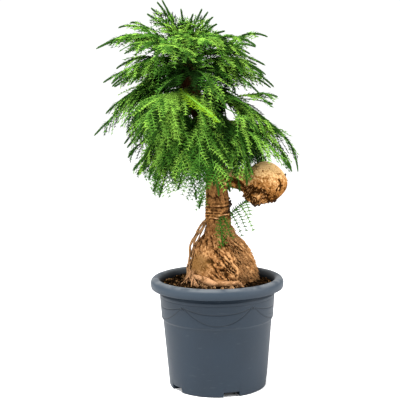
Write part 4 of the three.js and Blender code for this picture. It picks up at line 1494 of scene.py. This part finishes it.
def stem_radius(stem, t):
    """From the root's radius to the split's, and then evenly down to the tip's."""
    return np.interp(t, (0, SPLIT, 1), MAIN_RADII if stem["size"] == 1 else SIDE_RADII)


def bough_tubes(chosen, start, end, rings, sides):
    """The chosen stems between two shares of their length."""
    t = np.linspace(start, end, rings)
    paths = np.stack([on_curve(s["handles"], t) for s in chosen])
    radii = np.stack([stem_radius(s, t) for s in chosen])[..., None]
    turn = round_angles(sides)
    scars = sum(high * np.sin(around * turn + along * t[:, None]) for high, around, along in SCARS)
    return tubes(paths, radii * (1 + scars), np.stack([s["aside"] for s in chosen]), sides)


def bough_finish():
    """Two dull browns, from low to high values of one noise."""
    f = Finish("bough_bark")
    grain = f.grain(4, 4)
    return f.done(grain.blend((0.03, 0.034, 0.01), (0.08, 0.078, 0.024)), 0.8, grain, 0.4)


bough_nodes = [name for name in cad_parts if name.startswith("bough_")]
brown_tubes = bough_tubes(stems, 0, GREEN_FROM + OVERLAP, rings=18, sides=9)
new_piece("bough_bark", *brown_tubes, bough_finish(), "bough_bark", bough_nodes)
green_stem = Finish("green_stems").done((0.035, 0.095, 0.012), 0.7)
old_boughs, young_boughs = ([s for s in stems if s.get("young", False) == y] for y in (False, True))
green_tubes = bough_tubes(old_boughs, GREEN_FROM, GREEN_TO, rings=24, sides=6)
new_piece("green_stems", *green_tubes, green_stem, "bough_bark")

# %% [markdown]
# ## Twigs
# From each stem twigs stand out alternately left and right, hang a little and get shorter towards its
# tip, as in the solids' rule, but closer together. The longer ones carry finer twigs. A twig that would
# run into the trunk, the burl or the mix is left out, and so is one that would cross a window in the
# crown or hide what the photo shows through its front.

# %% Twigs of a stem
TWIG = dict(spacing=5.0, least=5, forward=43, turn=9, spread=30, sag=0.36, uneven=0.2)
FIRST_TWIG, SIDE_FIRST_TWIG = 0.07, 0.1  # shares of a main bough and of a side bough where twigs begin
TWIG_LENGTH = {"top": 66, "upper": 74, "middle": 92, "lower": 88}
TWIG_SHRINK = {  # power by which they shorten towards the tip
    "top": 1.1, "upper": 1.1, "middle": 0.8, "lower": 0.9, "shoot": 0.9, "low": 0.3, "sprig": 0.5,
}
GOLDEN = 137.5  # degrees from one twig or needle of a spiral to the next


def twigs_of(stem):
    """Root, heading and length of each twig of a stem, as whole arrays over its number k."""
    number = stems.index(stem)
    count = stem.get("twigs", int(stem_length[number] * 0.8 / TWIG["spacing"]))
    k = np.arange(count)
    share = 0.02 + (stem["bare"] - 0.05) * k / (count - 1)
    first = FIRST_TWIG if stem["size"] == 1 else SIDE_FIRST_TWIG
    t = first + (1 - first) * share
    along = curve_way(stem["handles"], t)
    aside = np.broadcast_to(stem["aside"], along.shape)
    above = unit(np.cross(along, aside))
    row = stem["row"] + 0 * k
    side = np.where(stem.get("one_side", False) | (k % 2 == 1), -1, 1)
    sideways = side * (90 + stem["hang"] + TWIG["spread"] * vary(row, 30 + k))
    off = turned(above, aside, GOLDEN * k if stem["spiral"] else sideways)
    open_out = 60 if stem.get("one_side") else -8 * stem["spiral"]
    heading = unit(turned(along, off, TWIG["forward"] + open_out + TWIG["turn"] * vary(row, 130 + k)))
    full = stem["length"] if "length" in stem else TWIG_LENGTH[stem["tier"]] * stem["size"]
    length = full * (1 - share) ** TWIG_SHRINK[stem["tier"]] + TWIG["least"]
    length = length * (1 + TWIG["uneven"] * vary(row, 60 + k))
    sag = stem.get("sag", TWIG["sag"])
    return dict(
        root=on_curve(stem["handles"], t), heading=heading, length=length, share=share,
        row=row * 50.0 + k, stem=np.full(count, number), sag=np.full(count, sag), face=above,
    )


def on_twig(twigs, x):
    """A twig's line at a share x of its length: straight ahead, less a sag that grows with x squared."""
    x = x[..., None]
    length = twigs["length"][:, None, None]
    fall = twigs["sag"][:, None, None] * length * x**2
    return twigs["root"][:, None] + twigs["heading"][:, None] * length * x - UP * fall


def twig_way(twigs, x):
    """A twig's unit tangent at a share x: the heading, less the slope of the sag."""
    return unit(twigs["heading"] - UP * (2 * twigs["sag"] * x)[:, None])


def gathered(sets):
    """Several sets of twigs as one."""
    return {key: np.concatenate([s[key] for s in sets]) for key in sets[0]}


twigs = gathered([twigs_of(stem) for stem in stems])
print("twigs by the rule:", len(twigs["length"]))

# %% Twigs that keep clear
ARM_RADIUS = 24  # of the burl's arm, with its bark
MIX_CLEAR = 245  # height that twigs keep above
CLEARANCE = 1.5
CLEAR_AT, OPEN_AT = np.array([0.35, 0.7, 1.0]), np.array([0.3, 0.65, 1.0])  # shares of a twig that are tested
ABOVE_TRUNK = 9  # taken as the distance from the trunk above its tip
SPRAY_HALF = 8.0  # how far needles stand out from a twig that would cross an opening


def pick(twigs, chosen):
    """The chosen ones of a set of twigs."""
    return {key: values[chosen] for key, values in twigs.items()}


def is_clear(twigs):
    """True for twigs that keep off the trunk, the burl, its arm and the mix along their whole length."""
    place = on_twig(twigs, CLEAR_AT)
    lean, radius = trunk_at(place[..., 2])
    beside = np.hypot(place[..., 0] - lean, place[..., 1]) - radius
    off_trunk = np.where(place[..., 2] > TRUNK[-1, 2], ABOVE_TRUNK, beside)
    off_burl = np.linalg.norm(place - BURL_MIDDLE, axis=-1) - BURL_RADIUS
    arm = BURL_MIDDLE - ARM_ROOT
    arm_share = np.clip((place[..., 0] - ARM_ROOT[0]) / arm[0], 0, 1)[..., None]
    off_arm = np.linalg.norm(place - ARM_ROOT - arm_share * arm, axis=-1) - ARM_RADIUS
    clear = np.minimum(np.minimum(off_trunk, off_burl), np.minimum(off_arm, place[..., 2] - MIX_CLEAR))
    return np.all(clear > CLEARANCE, axis=1)


def is_outside_openings(twigs):
    """True for twigs that keep out of the windows and clearings, which run along lines of sight."""
    place = on_twig(twigs, OPEN_AT)
    free = np.full(len(place), True)
    for x, y, radius in WINDOWS:
        free &= np.all(off_sight(x, y, place) > radius + SPRAY_HALF, axis=1)
    for x, y, radius, depth in CLEARINGS:
        free &= np.all((off_sight(x, y, place) > radius + SPRAY_HALF / 2) | (place[..., 1] > depth), axis=1)
    return free | young_stems[twigs["stem"]]


def kept(twigs):
    """The twigs that keep clear of all that."""
    return pick(twigs, is_clear(twigs) & is_outside_openings(twigs))


twigs = kept(twigs)
print("twigs of the first order:", len(twigs["length"]))

# %% Twigs of the second order
FINE = dict(spacing=24.0, start=0.1, span=0.66, forward=46, turn=10, tilt=24)
FINE_LENGTH = dict(share=0.4, most=24.0, uneven=0.25, on=60)  # on: the least length of a twig that has some


def numbered(count):
    """For parts dealt out by a count each: every part's owner, and its number with that owner."""
    owner = np.repeat(np.arange(len(count)), count)
    return owner, np.arange(len(owner)) - np.repeat(np.cumsum(count) - count, count)


def finer_twigs(twigs):
    """Finer twigs on both sides of each long twig, shorter towards its end."""
    count = (0.7 * twigs["length"] / FINE["spacing"]).astype(int)
    count = np.where(twigs["length"] > FINE_LENGTH["on"], count, 0)
    owner, k = numbered(count)
    held = pick(twigs, owner)
    x = FINE["start"] + FINE["span"] * (k + 0.5) / count[owner]
    row = held["row"] + 0.37 * (k + 1)
    along = twig_way(held, x)
    level = np.where(k % 2, 1, -1)[:, None] * unit(np.cross(along, held["face"]))
    off = turned(level, held["face"], FINE["tilt"] * vary(row, 3))
    heading = unit(turned(along, off, FINE["forward"] + FINE["turn"] * vary(row, 4)))
    length = np.minimum(held["length"] * FINE_LENGTH["share"], FINE_LENGTH["most"]) * (1.15 - 0.6 * x)
    length = length * (1 + FINE_LENGTH["uneven"] * vary(row, 5))
    return dict(
        root=on_twig(held, x[:, None])[:, 0], heading=heading, length=length, share=held["share"],
        row=row, stem=held["stem"], sag=held["sag"] * 0.8, face=held["face"],
    )


fine_twigs = kept(finer_twigs(twigs))
all_twigs = gathered([twigs, fine_twigs])
print("twigs of the second order:", len(fine_twigs["length"]))
print("metres of twig:", round(float(all_twigs["length"].sum()) * MM, 1))

# %% [markdown]
# ## Needles
# The needles stand along each twig in crossed pairs, lean forward and close in towards its tip. Sprays
# are painted light where they stand out from the trunk and at the top, and painted dark as shade inside,
# in the hollow under the top tier and on short inner boughs; one young bough is lime green. A colour that
# followed the place on so fine a mesh would be lost, so each spray is dealt one of six plain greens, by its
# place and a little chance, and the needles of one green are joined.

# %% Dealing out greens
# The greens run from the young bough's lime through the painted light of lit sprays to the painted shade of
# deep and shade inside the crown.
GREENS = {
    "young": (0.165, 0.31, 0.012), "bright": (0.185, 0.355, 0.045), "fresh": (0.106, 0.246, 0.03),
    "leaf": (0.05, 0.15, 0.015), "deep": (0.017, 0.066, 0.006), "shade": (0.005, 0.021, 0.002),
}
GREEN_CUTS = (1.12, 0.7, 0.52, 0.4, 0.28)  # tones between one green and the next
TIER_LIGHT = {
    "top": 0.04, "upper": 0.05, "middle": 0.09, "lower": -0.04, "shoot": 0.07, "low": 0.27, "sprig": 0.26,
}
INNER = 0.24  # painted shade: how much darker the sprays of short inner boughs are
HOLLOW = (186, 76)  # pixel of the dark hollow under the top tier
HOLLOW_SHADE, HOLLOW_REACH = 0.4, (62, 22)  # how much painted shade, and over which distances from its line of sight
LIT, FAR_OUT = (30, 120), (130, 195)  # distances from the trunk over which sprays are painted lighter, then darker
TOP_LIT, TOP_OUT = (715, 770), (140, 80)  # heights and distances over which the top is painted lighter
LOW_LIT = (560, 480)  # heights over which low sprays come to have at least a middle tone
OPEN_TOP = (765, 110)  # above this height, sprays are as light as at this distance from the trunk


def place_tone(place, out):
    """Painted light with the distance out from the trunk and at the top, painted shade in the hollow, and
    darker far out.
    """
    tone = 0.5 * smooth_step(out, *LIT) - 0.2 * smooth_step(out, *FAR_OUT)
    tone = tone + 0.1 * smooth_step(place[:, 2], *TOP_LIT) * smooth_step(out, *TOP_OUT)
    return tone - HOLLOW_SHADE * smooth_step(off_sight(*HOLLOW, place), *HOLLOW_REACH)


def greens_of(twigs):
    """A number of the green for each spray: its place's painted light and shade, its tier's light and painted
    shade on inner boughs, with some chance.
    """
    numbers = twigs["stem"]
    place = twigs["root"] + 0.6 * twigs["heading"] * twigs["length"][:, None]
    out = np.hypot(place[:, 0] - trunk_at(place[:, 2])[0], place[:, 1])
    out = np.where(place[:, 2] > OPEN_TOP[0], OPEN_TOP[1], out)
    tone = 0.02 + of_stems(lambda s: TIER_LIGHT[s["tier"]], numbers) + place_tone(place, out)
    tone = tone + young_stems[numbers] * (0.5 + 0.9 * smooth_step(twigs["share"], 0.2, 0.65))
    tone = tone - INNER * of_stems(lambda s: s["size"] < 0.75 and s["tier"] in TIERS, numbers)
    dealt = 0.1 * vary(of_stems(lambda s: s["row"], numbers), 11) + 0.4 * vary(np.floor(twigs["row"]), 12)
    low = of_stems(lambda s: s["mass"] == "low_shoot", numbers)
    tone = tone + dealt * np.where(low, 0.2, 0.35 + 0.65 * smooth_step(out, 20, 90))
    tone = np.maximum(tone, 0.42 * smooth_step(place[:, 2], *LOW_LIT))
    return np.sum([tone < cut for cut in GREEN_CUTS], axis=0)


twig_greens = greens_of(all_twigs)
print("twigs of each green:", np.bincount(twig_greens).tolist())
finishes = {g: Finish(g + "_green").done(c, 0.6) for g, c in GREENS.items()}
young_tubes = bough_tubes(young_boughs, GREEN_FROM, GREEN_TO, rings=24, sides=6)
new_piece("young_stem", *young_tubes, finishes["fresh"], "bough_bark")

# %% Twig meshes
STOUT = of_stems(lambda s: 1.5 if s["tier"] == "low" else 1.0)  # the low shoots have few, stout sprays


def twig_pieces(rings=3):
    """Three-sided tapering tubes; those of one green are joined."""
    x = np.linspace(0, 1, rings)
    for number, green in enumerate(GREENS):
        held = pick(all_twigs, twig_greens == number)
        paths = on_twig(held, x)
        radii = ((0.65 + 0.009 * held["length"]) * STOUT[held["stem"]])[:, None] * (1 - 0.55 * x)
        sideways = unit(np.cross(held["heading"], UP + 0.01))
        new_piece(f"twigs_{green}", *tubes(paths, radii, sideways, 3), finishes[green], "needles")


twig_pieces()

# %% Needles on the twigs
NEEDLE = dict(width=2.4, lean=74, lean_vary=6, cross=10, cross_vary=14)  # millimetres, then degrees
PAIR, YOUNG_PAIR = 5.8, 4.0  # millimetres from pair to pair on a twig
OWN_PAIR, YOUNG_OWN_PAIR = 5.2, 4.4  # and on a stem's own line
NEEDLE_LENGTH = {
    "top": 11.4, "upper": 11.2, "middle": 11.4, "lower": 11.8, "shoot": 11.4, "low": 12, "sprig": 8.5,
}
NEEDLE_ROW = 0.011  # step between the rows that needles' chances are dealt by


def needle_headings(along, face, k, x, row):
    """Pairs, each crossed with the next by twice an angle from level; they lean in near the tip."""
    side = np.where(k % 2, 1, -1)[:, None]
    level = unit(np.cross(along, face))
    cross = np.where(k // 2 % 2, 1, -1) * NEEDLE["cross"] + NEEDLE["cross_vary"] * vary(row, 24)
    off = side * turned(level, np.cross(level, along), cross)
    lean = NEEDLE["lean"] * (1 - 0.3 * x**3) + NEEDLE["lean_vary"] * vary(row, 22)
    return turned(along, off, lean), 0.85 + 0.3 * chance(row, 23)


def needles_on(twigs):
    """Feet of the pairs along each twig, with headings, lengths and widths."""
    pair = np.where(young_stems[twigs["stem"]], YOUNG_PAIR, PAIR)
    count = 2 * np.maximum((twigs["length"] / pair + 0.5).astype(int), 1)
    owner, k = numbered(count)
    held = pick(twigs, owner)
    x = (k // 2 + 0.6) * 2 / count[owner]
    along = twig_way(held, x)
    headings, lengths = needle_headings(along, held["face"], k, x, held["row"] + NEEDLE_ROW * k)
    lengths = lengths * of_stems(lambda s: NEEDLE_LENGTH[s["tier"]], held["stem"])
    widths = NEEDLE["width"] * STOUT[held["stem"]]
    return on_twig(held, x[:, None])[:, 0], headings, lengths * (1 - 0.35 * x**2), widths


print("needle lengths in millimetres:", NEEDLE_LENGTH)

# %% Needles on the stems
def has_rod(stem):
    """The longer boughs and the shoots end in a dark blunt tip."""
    return not stem.get("young") and (stem["size"] >= LED_SIZE or stem["tier"] not in TIERS)


def needles_on_stem(number):
    """The same on a stem's own line, from its split on, closer and shorter."""
    stem = stems[number]
    end = stem["bare"] + 0.02 if has_rod(stem) else 1.0
    pair = YOUNG_OWN_PAIR if young_stems[number] else OWN_PAIR
    count = 2 * int(stem_length[number] * (end - SPLIT) / pair)
    k = np.arange(count)
    t = SPLIT + (end - SPLIT) * (k // 2) * 2 / count
    along = curve_way(stem["handles"], t)
    face = np.cross(along, stem["aside"])
    headings, lengths = needle_headings(along, face, k, 0.6 + 0 * t, stem["row"] + NEEDLE_ROW * k)
    feet = on_curve(stem["handles"], t)
    points = dict(root=feet, heading=0 * feet, length=0 * t, sag=0 * t, stem=number + 0 * k)
    free = is_outside_openings(points)
    lengths = lengths * NEEDLE_LENGTH[stem["tier"]] * (0.9 - 0.5 * t**3)
    widths = np.full(count, NEEDLE["width"] * STOUT[number])
    return feet[free], headings[free], lengths[free], widths[free]


rod_stems = [stem for stem in stems if has_rod(stem)]
print("stems with a dark tip:", len(rod_stems), "of", len(stems))

# %% Needle pieces
MOST_TRIANGLES = 190000


def needle_pieces():
    """One or more joined pieces of each green; each stands for the masses whose sprays it holds."""
    numbers = np.arange(len(stems))
    middles = np.stack([on_curve(s["handles"], 0.6) for s in stems])
    rows = of_stems(lambda s: s["row"]).astype(float)
    own_lines = dict(stem=numbers, root=middles, heading=0 * middles, length=0 * rows, row=rows)
    own_lines["share"] = 0.6 + 0 * rows
    stem_greens = np.minimum(greens_of(own_lines) + ~young_stems, len(GREENS) - 1)
    for number, green in enumerate(GREENS):
        held = pick(all_twigs, twig_greens == number)
        own = numbers[stem_greens == number]
        sets = [needles_on(held)] + [needles_on_stem(i) for i in own]
        columns = [np.concatenate(column) for column in zip(*sets)]
        masses = {stems[i]["mass"] for i in {*held["stem"].tolist(), *own.tolist()}}
        count = len(columns[0])
        nodes = ["needles_" + mass for mass in sorted(masses)]
        parts = np.array_split(np.arange(count), len(AWL) * count // MOST_TRIANGLES + 1)
        for number_of_part, some in enumerate(parts):
            made = awls(*(column[some] for column in columns))
            new_piece(f"needles_{green}_{number_of_part + 1}", *made, finishes[green], "needles", nodes)


needle_pieces()

# %% [markdown]
# ## Blunt tips
# The longer boughs and the shoots end in a dark blunt rod, where next year's needles still lie flat. It is
# a short tube with a rounded end, covered with short awls that hug it at the end and open out towards the
# sprays.

# %% Tips of the stems
TIP = dict(radius=1.65, hug=9, open=44, length=5.5, longer=0.7, width=1.4, per_mm=1.5)
ROUND_FROM, ROUND_OVER = 0.93, 0.075  # shares of a rod where its end starts to round off, and over which
BLUNT = 0.04  # square of the share of the radius that is left at the very end


def tip_rods(rings=12, sides=8):
    """Tubes along the last share of each stem; the radius closes as a quarter circle at the end."""
    x = np.linspace(0, 1, rings)
    starts = [s["bare"] - 0.04 for s in rod_stems]
    lines = [on_curve(s["handles"], start + (1 - start) * x) for s, start in zip(rod_stems, starts)]
    round_end = np.sqrt(np.maximum(1 - (np.maximum(x - ROUND_FROM, 0) / ROUND_OVER) ** 2, BLUNT))
    sizes = np.array([0.4 + 0.6 * s["size"] for s in rod_stems])[:, None]
    radii = TIP["radius"] * sizes * (0.85 + 0.15 * smooth_step(x, 0, 0.2)) * round_end
    return tubes(np.stack(lines), radii, np.stack([s["aside"] for s in rod_stems]), sides)


def tip_needles():
    """Short awls round the rods in a spiral: nearly in line at the end, open towards the sprays."""
    parts = []
    for s in rod_stems:
        k = np.arange(int(curve_length(s) * (1 - s["bare"]) * TIP["per_mm"]))
        t = s["bare"] - 0.02 + (0.99 - s["bare"]) * k / len(k)
        along = curve_way(s["handles"], t)
        aside = unit(np.cross(along, UP))
        turn = (np.radians(GOLDEN) * k)[:, None]
        off = aside * np.cos(turn) + np.cross(along, aside) * np.sin(turn)
        inward = (1 - k / len(k)) ** 2
        feet = on_curve(s["handles"], t) + off * TIP["radius"] * (0.35 + 0.55 * s["size"])
        lengths = TIP["length"] * (1 + TIP["longer"] * inward)
        parts.append((feet, turned(along, off, TIP["hug"] + TIP["open"] * inward), lengths))
    feet, headings, lengths = (np.concatenate(columns) for columns in zip(*parts))
    return awls(feet, headings, lengths, np.full(len(feet), TIP["width"]))


tip_finish = Finish("dark_tips").done((0.018, 0.056, 0.006), 0.6)
new_piece("blunt_tips", *joined([tip_rods(), tip_needles()]), tip_finish, "needles")

# %% [markdown]
# The dressed plant may stand only a little proud of the plain model.
